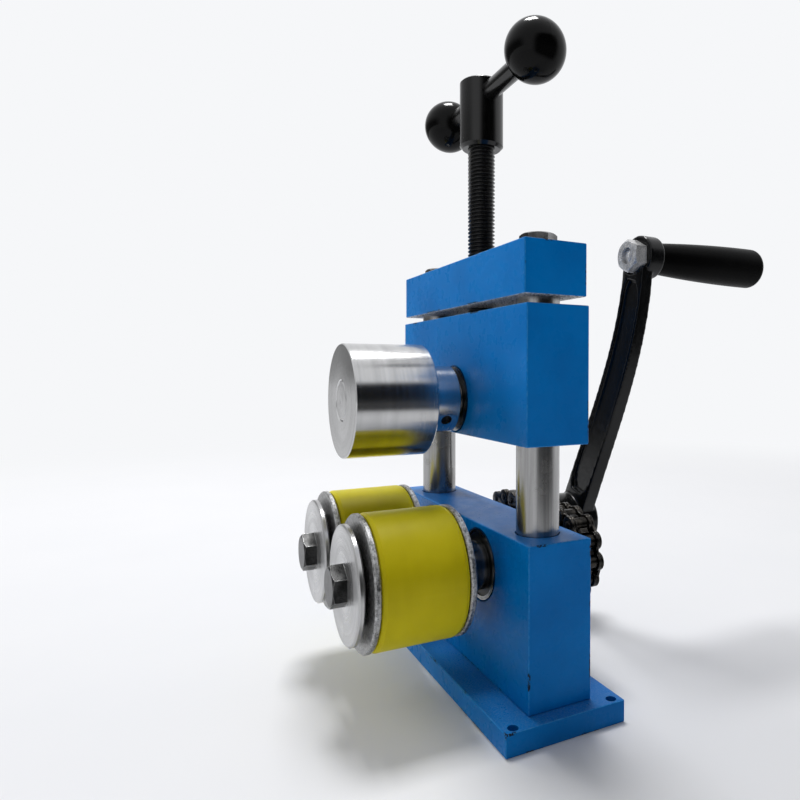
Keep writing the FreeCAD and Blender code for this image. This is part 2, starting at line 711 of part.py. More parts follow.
def make_lower_rollers():
    bore = size.bearing_bore + size.seat * 2
    inside = size.roller_length - size.flange_thickness * 2
    radius = size.roller_diameter / 2
    rounding = size.sleeve_round
    core = size.core_diameter / 2
    diagonal = rounding * (1 - math.sqrt(0.5))
    for name, side in sides:
        x = roller_x * side
        turned(name + "_roller_core", ring_corners(size.core_diameter, bore, size.roller_length),
               x, roller_front, lower_axis)
        turned(name + "_roller_sleeve", [
            (core + size.seat, 0),
            (radius - rounding, 0),
            (radius - diagonal, diagonal),
            (radius, rounding),
            (radius, inside - rounding),
            (radius - diagonal, inside - diagonal),
            (radius - rounding, inside),
            (core + size.seat, inside),
        ], x, roller_front + size.flange_thickness, lower_axis)
        outer = radius.number
        thick = size.flange_thickness.number
        chamfer = size.edge_round.number
        flanges = []
        for start in (0, size.roller_length.number - thick):
            ring = Part.makeCylinder(outer, thick, Vector(0, start, 0), Vector(0, 1, 0))
            ring = ring.makeChamfer(chamfer, [edge for edge in ring.Edges if edge.Closed])
            hole = Part.makeCylinder(
                core.number + size.seat.number, thick, Vector(0, start, 0), Vector(0, 1, 0))
            flanges.append(ring.cut(hole))
        feature(name + "_roller_flanges", flanges, (x, roller_front, lower_axis))
        turned(name + "_spacer_ring", ring_corners(size.spacer_diameter, bore, size.spacer_thickness),
               x, spacer_front, lower_axis)
        turned(name + "_clamp_washer", ring_corners(
            size.washer_diameter, size.end_bolt + size.apart * 2, size.washer_thickness, size.edge_round),
            x, washer_front, lower_axis)
        bolt = bolt_shape(
            size.end_bolt.number, size.end_bolt_flats.number, size.end_bolt_head.number,
            size.washer_thickness.number + size.end_bolt_reach.number)
        feature(name + "_end_bolt", bolt, (x, washer_front - size.end_bolt_head, lower_axis))


def lower_shaft(label, x, end, tail):
    """Shaft with a shoulder behind its roller; tail lists the corners at its rear end."""
    radius = size.bearing_bore / 2
    thread = size.end_bolt / 2 + size.seat
    thread_end = spacer_front + size.end_bolt_reach + size.apart * 2 + size.end_bolt / 10 - shaft_front
    shoulder = size.shoulder_diameter / 2
    chamfer = size.edge_round
    corners = [
        (0, thread_end),
        (thread, thread_end),
        (thread, 0),
        (radius - chamfer, 0),
        (radius, chamfer),
        (radius, roller_back - shaft_front),
        (shoulder, roller_back - shaft_front),
        (shoulder, front_face - shaft_front),
        (radius, front_face - shaft_front),
        (radius, end - shaft_front - chamfer),
        (radius - chamfer, end - shaft_front),
    ]
    return turned(label, corners + tail, x, shaft_front, lower_axis)


def make_lower_shafts():
    crank_end = boss_back - size.apart
    thread = size.crank_bolt / 2 + size.seat
    bottom = crank_end - shaft_front - size.crank_bolt_reach - size.apart * 2
    lower_shaft("drive_shaft", -roller_x, crank_end, [
        (thread, crank_end - shaft_front),
        (thread, bottom),
        (0, bottom),
    ])
    driven_end = chain_plane + size.tooth_width / 2 + size.driven_tail
    lower_shaft("driven_shaft", roller_x, driven_end, [(0, driven_end - shaft_front)])


teeth = round(size.sprocket_teeth.number)
pitch_radius = size.chain_pitch.number / 2 / math.sin(math.pi / teeth)


class ChainPath:
    """Closed pitch line: straight above, round both sprockets, sagging below."""

    def __init__(self, depth):
        self.radius = pitch_radius
        self.half = roller_x.number
        self.depth = depth
        self.sag_radius = self.radius + math.hypot(self.half, depth)
        self.leave = math.atan2(self.half, depth)
        self.top = 2 * self.half
        self.wrap = (math.pi - self.leave) * self.radius
        self.sag = 2 * self.leave * self.sag_radius
        self.length = self.top + 2 * self.wrap + self.sag

    def point(self, way):
        """Point at a distance from the left sprocket's top, going right along the top run."""
        way = way % self.length
        if way < self.top:
            return (-self.half + way, self.radius)
        way -= self.top
        if way < self.wrap:
            angle = math.pi / 2 - way / self.radius
            return (self.half + self.radius * math.cos(angle), self.radius * math.sin(angle))
        way -= self.wrap
        if way < self.sag:
            angle = -math.pi / 2 + self.leave - way / self.sag_radius
            return (self.sag_radius * math.cos(angle), self.depth + self.sag_radius * math.sin(angle))
        way -= self.sag
        angle = -math.pi / 2 - self.leave - way / self.radius
        return (-self.half + self.radius * math.cos(angle), self.radius * math.sin(angle))

    def pins(self, count):
        """Pins one chain pitch apart, starting on the left sprocket's top."""
        pitch = size.chain_pitch.number
        way = 0.0
        ways = [way]
        for _ in range(count):
            start = self.point(way)
            low, high = way, way + pitch * 2
            for _ in range(60):
                middle = (low + high) / 2
                end = self.point(middle)
                if math.hypot(end[0] - start[0], end[1] - start[1]) < pitch:
                    low = middle
                else:
                    high = middle
            way = low
            ways.append(way)
        return ways


def closed_chain():
    """The fewest even number of links that go round, and the sag that closes them exactly."""
    tight = 4 * roller_x.number + 2 * math.pi * pitch_radius
    count = 2 * math.ceil(tight / size.chain_pitch.number / 2)
    # Height of the sagging arc's centre above the axes, flattest and deepest
    shallow, deep = 6 * roller_x.number, roller_x.number / 5
    for _ in range(60):
        middle = (shallow + deep) / 2
        path = ChainPath(middle)
        if path.pins(count)[-1] > path.length:
            shallow = middle
        else:
            deep = middle
    path = ChainPath(middle)
    return [path.point(way) for way in path.pins(count)[:-1]]


def sprocket(label, x, first_pin):
    """Toothed disc whose seats lie under the chain's rollers, with a hub towards the block."""
    radius = pitch_radius
    tip = radius + size.tooth_addendum.number
    seat = size.chain_roller.number / 2 + size.seat_play.number
    width = size.tooth_width.number
    axis = Vector(0, 1, 0)
    start = chain_plane.number - width / 2 - back_face.number
    disc = Part.makeCylinder(tip, width, Vector(0, start, 0), axis)
    disc = disc.makeChamfer(width / 6, [edge for edge in disc.Edges if edge.Closed])
    reach = 2 * size.tooth_addendum.number
    flare = reach * math.tan(math.radians(size.tooth_flare.number))
    slot = Part.Face(Part.makePolygon([
        Vector(radius, 0, -seat),
        Vector(radius + reach, 0, -seat - flare),
        Vector(radius + reach, 0, seat + flare),
        Vector(radius, 0, seat),
        Vector(radius, 0, -seat),
    ])).extrude(Vector(0, width, 0))
    slot = slot.fuse(Part.makeCylinder(seat, width, Vector(radius, 0, 0), axis))
    slot.translate(Vector(0, start, 0))
    cutters = []
    for index in range(teeth):
        cutter = slot.copy()
        degrees = math.degrees(math.atan2(first_pin[1], first_pin[0])) + 360.0 * index / teeth
        cutter.rotate(Vector(), axis, -degrees)
        cutters.append(cutter)
    disc = disc.cut(cutters)
    nose = Part.makeCylinder(size.hub_nose.number / 2, size.hub_nose_length.number, Vector(), axis)
    hub = Part.makeCylinder(
        size.hub_diameter.number / 2, start - size.hub_nose_length.number,
        Vector(0, size.hub_nose_length.number, 0), axis)
    shape = disc.fuse([nose, hub])
    bore = Part.makeCylinder(size.bearing_bore.number / 2 + size.seat.number, start + width, Vector(), axis)
    screw_y = (size.hub_nose_length.number + start) / 2
    tapped = Part.makeCylinder(
        size.hub_screw.number / 2 + size.seat.number, size.hub_diameter.number, Vector(0, screw_y, 0),
        Vector(0, 0, 1))
    shape = shape.cut([bore, tapped]).removeSplitter()
    feature(label, shape, (x, back_face, lower_axis))
    length = (size.hub_diameter.number - size.bearing_bore.number) / 2 - size.apart.number * 3
    base = Vector(0, screw_y, size.bearing_bore.number / 2 + size.seat.number)
    grub = Part.makeCylinder(size.hub_screw.number / 2, length, base)
    socket = Part.makeCylinder(size.hub_screw.number / 4, length / 2, base + Vector(0, 0, length / 2))
    feature(label + "_screw", grub.cut(socket), (x, back_face, lower_axis))


def chain_plate(start, end, low):
    """One plate between two pins; low is its nearer face along Y."""
    pitch = math.hypot(end[0] - start[0], end[1] - start[1])
    thick = size.plate_thickness.number
    height = size.plate_height.number / 2
    waist = size.plate_waist.number
    axis = Vector(0, 1, 0)
    ends = [Part.makeCylinder(height, thick, Vector(along, 0, 0), axis) for along in (0, pitch)]
    bridge = Part.makeBox(pitch, thick, waist, Vector(0, 0, -waist / 2))
    hole = size.chain_pin.number / 2 + size.seat.number
    holes = [Part.makeCylinder(hole, thick, Vector(along, 0, 0), axis) for along in (0, pitch)]
    plate = bridge.fuse(ends).cut(holes).removeSplitter()
    turn = math.degrees(math.atan2(end[1] - start[1], end[0] - start[0]))
    plate.rotate(Vector(), axis, -turn)
    plate.translate(Vector(start[0], low, start[1]))
    return plate


def make_chain_drive():
    pins = closed_chain()
    radius = pitch_radius
    half = roller_x.number
    on_right = [(x - half, z) for x, z in pins if abs(math.hypot(x - half, z) - radius) < 1e-4 and x > half]
    sprocket("drive_sprocket", -roller_x, (0.0, radius))
    sprocket("driven_sprocket", roller_x, on_right[0])
    thick = size.plate_thickness.number
    play = size.plate_play.number
    inner_low = size.chain_roller_width.number / 2 + play / 2
    outer_low = inner_low + thick + play
    inner, outer, rollers, rods = [], [], [], []
    axis = Vector(0, 1, 0)
    for index, start in enumerate(pins):
        end = pins[(index + 1) % len(pins)]
        group, low = (inner, inner_low) if index % 2 == 0 else (outer, outer_low)
        group.append(chain_plate(start, end, low))
        group.append(chain_plate(start, end, -low - thick))
        base = Vector(start[0], -size.chain_roller_width.number / 2, start[1])
        pin_radius = size.chain_pin.number / 2
        roller = Part.makeCylinder(size.chain_roller.number / 2, size.chain_roller_width.number, base, axis)
        hole = Part.makeCylinder(pin_radius + size.seat.number, size.chain_roller_width.number, base, axis)
        rollers.append(roller.cut(hole))
        reach = outer_low + thick + play * 2
        rods.append(Part.makeCylinder(pin_radius, 2 * reach, Vector(start[0], -reach, start[1]), axis))
    position = (0, chain_plane, lower_axis)
    feature("chain_inner_plates", inner, position)
    feature("chain_outer_plates", outer, position)
    feature("chain_rollers", rollers, position)
    feature("chain_pins", rods, position)


# The crank's grip axis, from the drive shaft's axis
crank_angle = math.radians(size.crank_lean.number)
grip_x = -roller_x.number + size.crank_length.number * math.sin(crank_angle)
grip_z = lower_axis.number + size.crank_length.number * math.cos(crank_angle)
eye_front = boss_back + size.eye_step


def arm_section(share):
    """Cross-section of the arm at a share of its length from the boss."""
    width = size.arm_width_low.number * (1 - share) + size.arm_width_high.number * share
    thick = size.arm_thickness_low.number * (1 - share) + size.arm_thickness_high.number * share
    along = size.crank_length.number * share
    bow = 4 * size.crank_bow.number * share * (1 - share)
    bow *= 1 - size.crank_bow_shift.number * (1 - 2 * share)
    low_y = boss_back.number - size.arm_inset.number
    high_y = eye_front.number + size.eye_thickness.number / 2 - size.arm_offset.number
    ease = share * share * (3 - 2 * share)
    centre_y = low_y * (1 - ease) + high_y * ease
    band = width * size.arm_band.number / 2
    half = width / 2
    rim = thick * size.arm_rim.number
    profile = [
        (-band, -thick / 2),
        (band, -thick / 2),
        (half, -rim),
        (half, rim),
        (band, thick / 2),
        (-band, thick / 2),
        (-half, rim),
        (-half, -rim),
    ]
    across = Vector(math.cos(crank_angle), 0, -math.sin(crank_angle))
    upward = Vector(math.sin(crank_angle), 0, math.cos(crank_angle))
    centre = Vector(-roller_x.number, centre_y, lower_axis.number) + upward * along + across * bow
    points = [centre + across * u + Vector(0, v, 0) for u, v in profile]
    return Part.makePolygon(points + points[:1])


def make_crank():
    """Forged arm with a long boss on the shaft and an eye for the grip's spindle."""
    axis = Vector(0, 1, 0)
    stations = 12
    arm = Part.makeLoft([arm_section(index / stations) for index in range(stations + 1)], True, False)
    shaft = Vector(-roller_x.number, 0, lower_axis.number)
    boss = Part.makeCylinder(
        size.boss_diameter.number / 2, size.boss_length.number, shaft + Vector(0, boss_front.number, 0), axis)
    boss = boss.makeChamfer(size.edge_round.number * 2, [edge for edge in boss.Edges if edge.Closed])
    eye_base = Vector(grip_x, eye_front.number, grip_z)
    eye = Part.makeCylinder(size.eye_diameter.number / 2, size.eye_thickness.number, eye_base, axis)
    eye = eye.makeChamfer(size.edge_round.number, [edge for edge in eye.Edges if edge.Closed])
    bore = Part.makeCylinder(
        size.bearing_bore.number / 2 + size.seat.number, size.boss_length.number,
        shaft + Vector(0, boss_front.number, 0), axis)
    hole = Part.makeCylinder(
        size.spindle_diameter.number / 2 + size.seat.number, 3 * size.eye_thickness.number,
        eye_base - axis * size.eye_thickness.number, axis)
    nut_corner = size.nut_flats.number / 2 / math.cos(math.pi / 6)
    nut_room = Part.makeCylinder(
        nut_corner + size.apart.number * 3, 3 * size.eye_thickness.number,
        eye_base - axis * (3 * size.eye_thickness.number), axis)
    shape = arm.cut(nut_room).fuse([boss, eye]).cut([bore, hole]).removeSplitter()
    feature("crank_arm", shape)
    turned("crank_washer", ring_corners(
        size.crank_washer, size.crank_bolt + size.apart * 2, size.crank_washer_thickness, size.edge_round / 2),
        -roller_x, boss_back, lower_axis)
    bolt = bolt_shape(
        size.crank_bolt.number, size.crank_bolt_flats.number, size.crank_bolt_head.number,
        size.crank_washer_thickness.number + size.crank_bolt_reach.number)
    back = boss_back + size.crank_washer_thickness + size.crank_bolt_head
    feature("crank_bolt", bolt, (-roller_x, back, lower_axis), FreeCAD.Rotation(Vector(0, 0, 1), 180))


def make_grip():
    """Turning grip on a shouldered spindle that a nut holds in the arm's eye."""
    eye_back = eye_front + size.eye_thickness
    collar_back = eye_back + size.spindle_collar_thickness
    nut_front = eye_front - size.nut_height
    start = collar_back + size.apart
    spindle_start = nut_front + size.spindle_recess
    radius = size.spindle_diameter / 2
    dome = radius * (2 - math.sqrt(3))
    collar = size.spindle_collar / 2
    head = size.spindle_head / 2
    head_start = start + size.grip_length - size.spindle_head_depth - size.apart * 2
    head_end = head_start + size.spindle_head_depth
    turned("grip_spindle", [
        (0, 0),
        (radius / 2, dome / 4),
        (radius, dome),
        (radius, eye_back - spindle_start),
        (collar, eye_back - spindle_start),
        (collar, collar_back - spindle_start),
        (radius, collar_back - spindle_start),
        (radius, head_start - spindle_start),
        (head, head_start - spindle_start),
        (head, head_end - spindle_start),
        (0, head_end - spindle_start),
    ], grip_x, spindle_start, grip_z)
    nut = hex_head(size.nut_flats.number, size.nut_height.number)
    hole = Part.makeCylinder(
        size.spindle_diameter.number / 2 + size.seat.number, size.nut_height.number, Vector(), Vector(0, 1, 0))
    feature("spindle_nut", nut.cut(hole), (grip_x, nut_front, grip_z))
    length = size.grip_length.number
    bore = size.spindle_diameter.number / 2 + size.running.number
    sink = size.spindle_head.number / 2 + size.apart.number
    sink_start = head_start.number - start.number - size.apart.number
    rounding = size.grip_round.number
    end = size.grip_end.number / 2
    side = Part.BSplineCurve()
    side.interpolate([
        Vector(size.grip_start.number / 2, 0, 0),
        Vector(size.grip_middle.number / 2, length / 2, 0),
        Vector(end, length - rounding, 0),
    ])
    diagonal = rounding * (1 - math.sqrt(0.5))
    arc = Part.Arc(
        Vector(end, length - rounding, 0),
        Vector(end - diagonal, length - diagonal, 0),
        Vector(end - rounding, length, 0))
    rest = Part.makePolygon([
        Vector(end - rounding, length, 0),
        Vector(sink, length, 0),
        Vector(sink, sink_start, 0),
        Vector(bore, sink_start, 0),
        Vector(bore, 0, 0),
        Vector(size.grip_start.number / 2, 0, 0),
    ])
    wire = Part.Wire([side.toShape(), arc.toShape()] + rest.Edges)
    shape = Part.Face(wire).revolve(Vector(), Vector(0, 1, 0), 360)
    feature("grip", shape, (grip_x, start, grip_z))


def make_top_roller():
    back = front_face - size.top_roller_gap
    front = back - size.top_roller_length
    radius = size.top_roller_diameter / 2
    hub = size.top_hub_diameter / 2
    bore = size.top_shaft_front / 2 + size.seat
    chamfer = size.roller_chamfer
    length = size.top_roller_length
    whole = length + size.top_hub_length
    body = turned("top_roller", [
        (bore + chamfer, 0),
        (radius - chamfer, 0),
        (radius, chamfer),
        (radius, length - chamfer),
        (radius - chamfer, length),
        (hub, length),
        (hub, whole - chamfer),
        (hub - chamfer, whole),
        (bore, whole),
        (bore, chamfer),
    ], 0, front, upper_axis)
    screw = size.grub_screw
    sketch = body.newObject("Sketcher::SketchObject", "top_roller_tapping")
    sketch.AttachmentSupport = [(origin_plane(body, "YZ_Plane"), "")]
    sketch.MapMode = "FlatFace"
    circles(sketch, [(length + size.grub_station, 0)], screw)
    pocket(body, sketch, hub + size.apart, True)
    body.Placement = FreeCAD.Placement(
        body.Placement.Base, FreeCAD.Rotation(Vector(0, 1, 0), size.grub_turn.number))
    grub_length = (size.top_hub_diameter.number - size.top_shaft_front.number) / 4
    grub_base = size.top_shaft_front.number / 2 + size.seat.number
    grub = Part.makeCylinder(
        screw.number / 2 - size.seat.number, grub_length, Vector(grub_base, 0, 0), Vector(1, 0, 0))
    socket = Part.makeCylinder(
        screw.number / 4, grub_length / 2, Vector(grub_base + grub_length / 2, 0, 0), Vector(1, 0, 0))
    station = front + length + size.grub_station
    feature("top_roller_screw", grub.cut(socket), (0, station, upper_axis),
            FreeCAD.Rotation(Vector(0, 1, 0), size.grub_turn.number))
    shaft_end = back_face + size.shaft_tail
    hub_end = front + whole
    seat_radius = size.bearing_bore / 2
    groove = seat_radius - size.circlip_depth
    clip = back_face + size.apart / 3
    shoulder = size.top_shoulder / 2
    front_radius = size.top_shaft_front / 2
    turned("top_shaft", [
        (0, 0),
        (front_radius - chamfer * 2, 0),
        (front_radius, chamfer * 2),
        (front_radius, hub_end - front),
        (shoulder, hub_end - front),
        (shoulder, front_face - front),
        (seat_radius, front_face - front),
        (seat_radius, clip - front),
        (groove, clip - front),
        (groove, clip + size.circlip_width - front),
        (seat_radius, clip + size.circlip_width - front),
        (seat_radius, shaft_end - front - chamfer),
        (seat_radius - chamfer, shaft_end - front),
        (0, shaft_end - front),
    ], 0, front, upper_axis)
    turned("top_shaft_circlip", ring_corners(
        (groove + size.circlip_height) * 2, (groove + size.seat) * 2, size.circlip_width - size.seat * 2),
        0, clip + size.seat, upper_axis)


def make_lead_screw():
    """Pressing screw: ringed thread, plain spigot below for the thrust collar."""
    spigot_bottom = slider_top - size.thrust_depth + size.apart
    thread_bottom = slider_top + size.apart
    hub_bottom = beam_top + size.hub_rise
    top = hub_bottom + size.hub_socket
    radius = size.screw_diameter.number / 2
    spigot = size.spigot_diameter.number / 2
    depth = size.thread_depth.number
    pitch = size.screw_pitch.number
    start = thread_bottom.number - spigot_bottom.number
    end = hub_bottom.number - spigot_bottom.number
    whole = top.number - spigot_bottom.number
    points = [Vector(0, 0, 0), Vector(spigot, 0, 0), Vector(spigot, 0, start), Vector(radius - depth, 0, start)]
    turns = int((end - start) / pitch)
    crest = pitch / 8
    for index in range(turns):
        low = start + index * pitch
        points.append(Vector(radius - depth, 0, low + crest))
        points.append(Vector(radius, 0, low + pitch / 2 - crest / 2))
        points.append(Vector(radius, 0, low + pitch / 2 + crest / 2))
        points.append(Vector(radius - depth, 0, low + pitch - crest))
    neck = radius - depth
    points += [Vector(neck, 0, end), Vector(neck, 0, whole), Vector(0, 0, whole), Vector(0, 0, 0)]
    shape = Part.Face(Part.makePolygon(points)).revolve(Vector(), Vector(0, 0, 1), 360)
    feature("lead_screw", shape, (0, column, spigot_bottom))
    turned("thrust_collar", ring_corners(
        size.thrust_collar, size.spigot_diameter + size.seat * 2, size.thrust_collar_height, size.edge_round / 2),
        0, column, slider_top - size.thrust_depth + size.thrust_washer_height + size.apart, "Z")


def make_handle():
    hub_bottom = beam_top + size.hub_rise
    radius = size.handle_hub_diameter / 2
    socket = size.screw_diameter / 2 - size.thread_depth + size.seat
    chamfer = size.hub_chamfer
    height = size.hub_height
    body = turned("handle_hub_blank", [
        (socket, 0),
        (radius - chamfer, 0),
        (radius, chamfer),
        (radius, height - size.edge_round),
        (radius - size.edge_round, height),
        (0, height),
        (0, size.hub_socket + size.apart),
        (socket, size.hub_socket + size.apart),
    ], 0, column, hub_bottom, "Z")
    tilt = size.lever_tilt.number
    lever_height = hub_bottom.number + height.number - size.lever_drop.number
    direction = Vector(math.cos(math.radians(tilt)), 0, math.sin(math.radians(tilt)))
    doc.recompute()
    cross = Part.makeCylinder(
        size.lever_diameter.number / 2 + size.seat.number, 2 * size.handle_hub_diameter.number,
        Vector(0, column.number, lever_height) - direction * size.handle_hub_diameter.number, direction)
    tapped = Part.makeCylinder(
        size.hub_screw.number / 2 + size.seat.number, size.handle_hub_diameter.number,
        Vector(0, column.number, hub_bottom.number + size.hub_socket.number / 2), Vector(0, 1, 0))
    pieces.remove(body)
    feature("handle_hub", body.Shape.cut([cross, tapped]))
    thread = socket.number
    length = radius.number - thread - size.apart.number * 2
    base = Vector(0, column.number + thread, hub_bottom.number + size.hub_socket.number / 2)
    grub = Part.makeCylinder(size.hub_screw.number / 2, length, base, Vector(0, 1, 0))
    hexagon_hole = Part.makeCylinder(
        size.hub_screw.number / 4, length / 2, base + Vector(0, length / 2, 0), Vector(0, 1, 0))
    feature("hub_set_screw", grub.cut(hexagon_hole))
    knob = size.knob_diameter.number / 2
    knob_flat = math.sqrt(knob ** 2 - (size.lever_diameter.number / 2) ** 2)
    ends = []
    knobs = []
    for reach, sign in ((size.knob_near.number, 1), (size.knob_far.number, -1)):
        centre = Vector(0, column.number, lever_height) + direction * (sign * reach)
        bar_end = centre + direction * (sign * (size.knob_socket.number - knob))
        ends.append(bar_end)
        ball = Part.makeSphere(knob, centre)
        inner = centre - direction * (sign * size.knob_diameter.number)
        bar = Part.makeCylinder(
            size.lever_diameter.number / 2 + size.seat.number, bar_end.sub(inner).Length + size.apart.number,
            inner, direction * sign)
        flat = Part.makeBox(knob, 2 * knob, 2 * knob, Vector(0, -knob, -knob))
        flat.rotate(Vector(), Vector(0, 1, 0), -tilt)
        if sign > 0:
            flat.rotate(Vector(), Vector(0, 0, 1), 180)
            flat.rotate(Vector(), Vector(0, 1, 0), -2 * tilt)
        flat.translate(centre - direction * (sign * knob_flat))
        knobs.append(ball.cut([bar, flat]))
    bar = Part.makeCylinder(size.lever_diameter.number / 2, ends[0].sub(ends[1]).Length, ends[1], direction)
    feature("lever_bar", bar)
    feature("ball_knobs", knobs)


doc.recompute()
make_base_plate()
make_base_screws()
make_lower_block()
make_posts()
make_post_bolts()
make_top_beam()
make_slider()
make_retainer()
make_bearings()
make_lower_rollers()
make_lower_shafts()
make_chain_drive()
make_crank()
make_grip()
make_top_roller()
make_lead_screw()
make_handle()
doc.recompute()

for item in doc.Objects:
    if "Invalid" in item.State or "Error" in item.State:
        raise ValueError(item.Label + " failed: " + ", ".join(item.State))
for piece in pieces:
    if piece.Shape.isNull() or not piece.Shape.isValid():
        raise ValueError(piece.Label + " has no valid shape")

os.makedirs("parts", exist_ok=True)
for piece in pieces:
    piece.Shape.exportStep("parts/%s.step" % piece.Label)
print(len(pieces), "pieces written")
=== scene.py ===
import math

import bmesh
import bpy
from mathutils import Matrix, Vector
from mathutils.bvhtree import BVHTree


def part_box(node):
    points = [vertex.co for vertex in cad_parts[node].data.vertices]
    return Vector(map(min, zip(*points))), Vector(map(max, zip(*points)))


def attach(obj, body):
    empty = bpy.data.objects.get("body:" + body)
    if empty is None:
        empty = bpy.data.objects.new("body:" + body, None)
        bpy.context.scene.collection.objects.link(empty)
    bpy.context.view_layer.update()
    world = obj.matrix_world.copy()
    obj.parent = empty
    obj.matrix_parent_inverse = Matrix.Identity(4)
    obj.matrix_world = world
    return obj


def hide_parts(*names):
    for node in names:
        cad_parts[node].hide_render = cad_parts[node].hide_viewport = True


# Looks of the ring roller: finishes, cast crank arm, threads, chain details, studio and camera.
# Metres, in the frame's own axes: rollers at the front (-Y), chain and crank at the back (+Y).

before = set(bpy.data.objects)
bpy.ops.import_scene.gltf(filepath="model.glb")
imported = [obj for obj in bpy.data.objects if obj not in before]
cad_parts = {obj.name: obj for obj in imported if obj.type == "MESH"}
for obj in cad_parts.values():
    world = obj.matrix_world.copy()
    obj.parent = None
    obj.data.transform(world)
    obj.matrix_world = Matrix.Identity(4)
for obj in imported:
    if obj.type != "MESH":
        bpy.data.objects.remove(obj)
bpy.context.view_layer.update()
scene = bpy.context.scene
mm = 0.001


def srgb(red, green, blue):
    """Linear colour from 8-bit display values."""
    linear = []
    for value in (red, green, blue):
        part = value / 255
        linear.append(part / 12.92 if part <= 0.04045 else ((part + 0.055) / 1.055) ** 2.4)
    return (*linear, 1.0)


def grey(value):
    return srgb(value, value, value)


class Nodes:
    """An empty shader tree to fill: most methods add a node and return its output socket."""

    def __init__(self, tree, coordinates):
        self.tree = tree
        tree.nodes.clear()
        self.place = self.add("ShaderNodeTexCoord").outputs[coordinates]

    def add(self, kind, **settings):
        node = self.tree.nodes.new(kind)
        for key, value in settings.items():
            setattr(node, key, value)
        return node

    def put(self, value, socket):
        if isinstance(value, bpy.types.NodeSocket):
            self.tree.links.new(value, socket)
        else:
            socket.default_value = value

    def math(self, operation, first, second=0.0, clamp=False):
        node = self.add("ShaderNodeMath", operation=operation, use_clamp=clamp)
        self.put(first, node.inputs[0])
        self.put(second, node.inputs[1])
        return node.outputs[0]

    def vector(self, operation, first, second=(0, 0, 0)):
        node = self.add("ShaderNodeVectorMath", operation=operation)
        self.put(first, node.inputs[0])
        self.put(second, node.inputs[1])
        return node.outputs["Value" if operation in ("LENGTH", "DOT_PRODUCT") else "Vector"]

    def parts(self, vector):
        node = self.add("ShaderNodeSeparateXYZ")
        self.put(vector, node.inputs[0])
        return node.outputs

    def joined(self, x, y, z):
        node = self.add("ShaderNodeCombineXYZ")
        for value, socket in zip((x, y, z), node.inputs):
            self.put(value, socket)
        return node.outputs[0]

    def noise(self, scale, detail=2.0, vector=None, rough=0.5):
        node = self.add("ShaderNodeTexNoise")
        self.put(vector or self.place, node.inputs["Vector"])
        node.inputs["Scale"].default_value = scale
        node.inputs["Detail"].default_value = detail
        node.inputs["Roughness"].default_value = rough
        return node.outputs["Fac"]

    def cells(self, scale, output="Distance"):
        node = self.add("ShaderNodeTexVoronoi")
        self.put(self.place, node.inputs["Vector"])
        node.inputs["Scale"].default_value = scale
        return node.outputs[output]

    def between(self, value, low, high):
        """0 at low, 1 at high, clamped; low may be the larger one."""
        node = self.add("ShaderNodeMapRange", clamp=True, interpolation_type="SMOOTHSTEP")
        self.put(value, node.inputs["Value"])
        node.inputs["From Min"].default_value = low
        node.inputs["From Max"].default_value = high
        return node.outputs[0]

    def mix(self, factor, first, second):
        node = self.add("ShaderNodeMix", data_type="RGBA")
        self.put(factor, node.inputs["Factor"])
        self.put(first, node.inputs[6])
        self.put(second, node.inputs[7])
        return node.outputs[2]

    def blend(self, factor, first, second):
        """Mix of two plain numbers."""
        node = self.add("ShaderNodeMix", data_type="FLOAT")
        self.put(factor, node.inputs[0])
        self.put(first, node.inputs[2])
        self.put(second, node.inputs[3])
        return node.outputs[0]


class Finish(Nodes):
    """A procedural material with one principled shader."""

    def __init__(self, name, colour, roughness, metallic=0.0, **constants):
        self.material = bpy.data.materials.new(name)
        self.material.use_nodes = True
        super().__init__(self.material.node_tree, "Object")
        self.bsdf = self.add("ShaderNodeBsdfPrincipled")
        self.surface = self.add("ShaderNodeOutputMaterial").inputs["Surface"]
        self.put(self.bsdf.outputs[0], self.surface)
        self.set("Base Color", colour)
        self.set("Roughness", roughness)
        self.set("Metallic", metallic)
        for socket, value in constants.items():
            self.set(socket.replace("_", " "), value)

    def set(self, name, value):
        self.put(value, self.bsdf.inputs[name])

    def bump(self, height, distance, strength=1.0):
        node = self.add("ShaderNodeBump")
        node.inputs["Strength"].default_value = strength
        node.inputs["Distance"].default_value = distance
        self.put(height, node.inputs["Height"])
        self.set("Normal", node.outputs[0])

    def normal(self):
        return self.add("ShaderNodeNewGeometry").outputs["True Normal"]

    def edges(self, radius):
        """1 on convex and concave edges within a radius, 0 on flat faces."""
        bevel = self.add("ShaderNodeBevel", samples=6)
        bevel.inputs["Radius"].default_value = radius
        turn = self.vector("DOT_PRODUCT", bevel.outputs[0], self.normal())
        return self.between(self.math("SUBTRACT", 1.0, turn), 0.02, 0.25)


def middle(node):
    low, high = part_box(node)
    return (low + high) / 2


def lathe_place(finish, node):
    """Coordinates of a piece turned about Y: radius, station along the axis, and angle."""
    offset = finish.vector("SUBTRACT", finish.place, tuple(middle(node)))
    x, y, z = finish.parts(offset)
    radius = finish.vector("LENGTH", finish.joined(x, z, 0.0))
    return radius, y, finish.math("ARCTAN2", x, z)


# Finishes

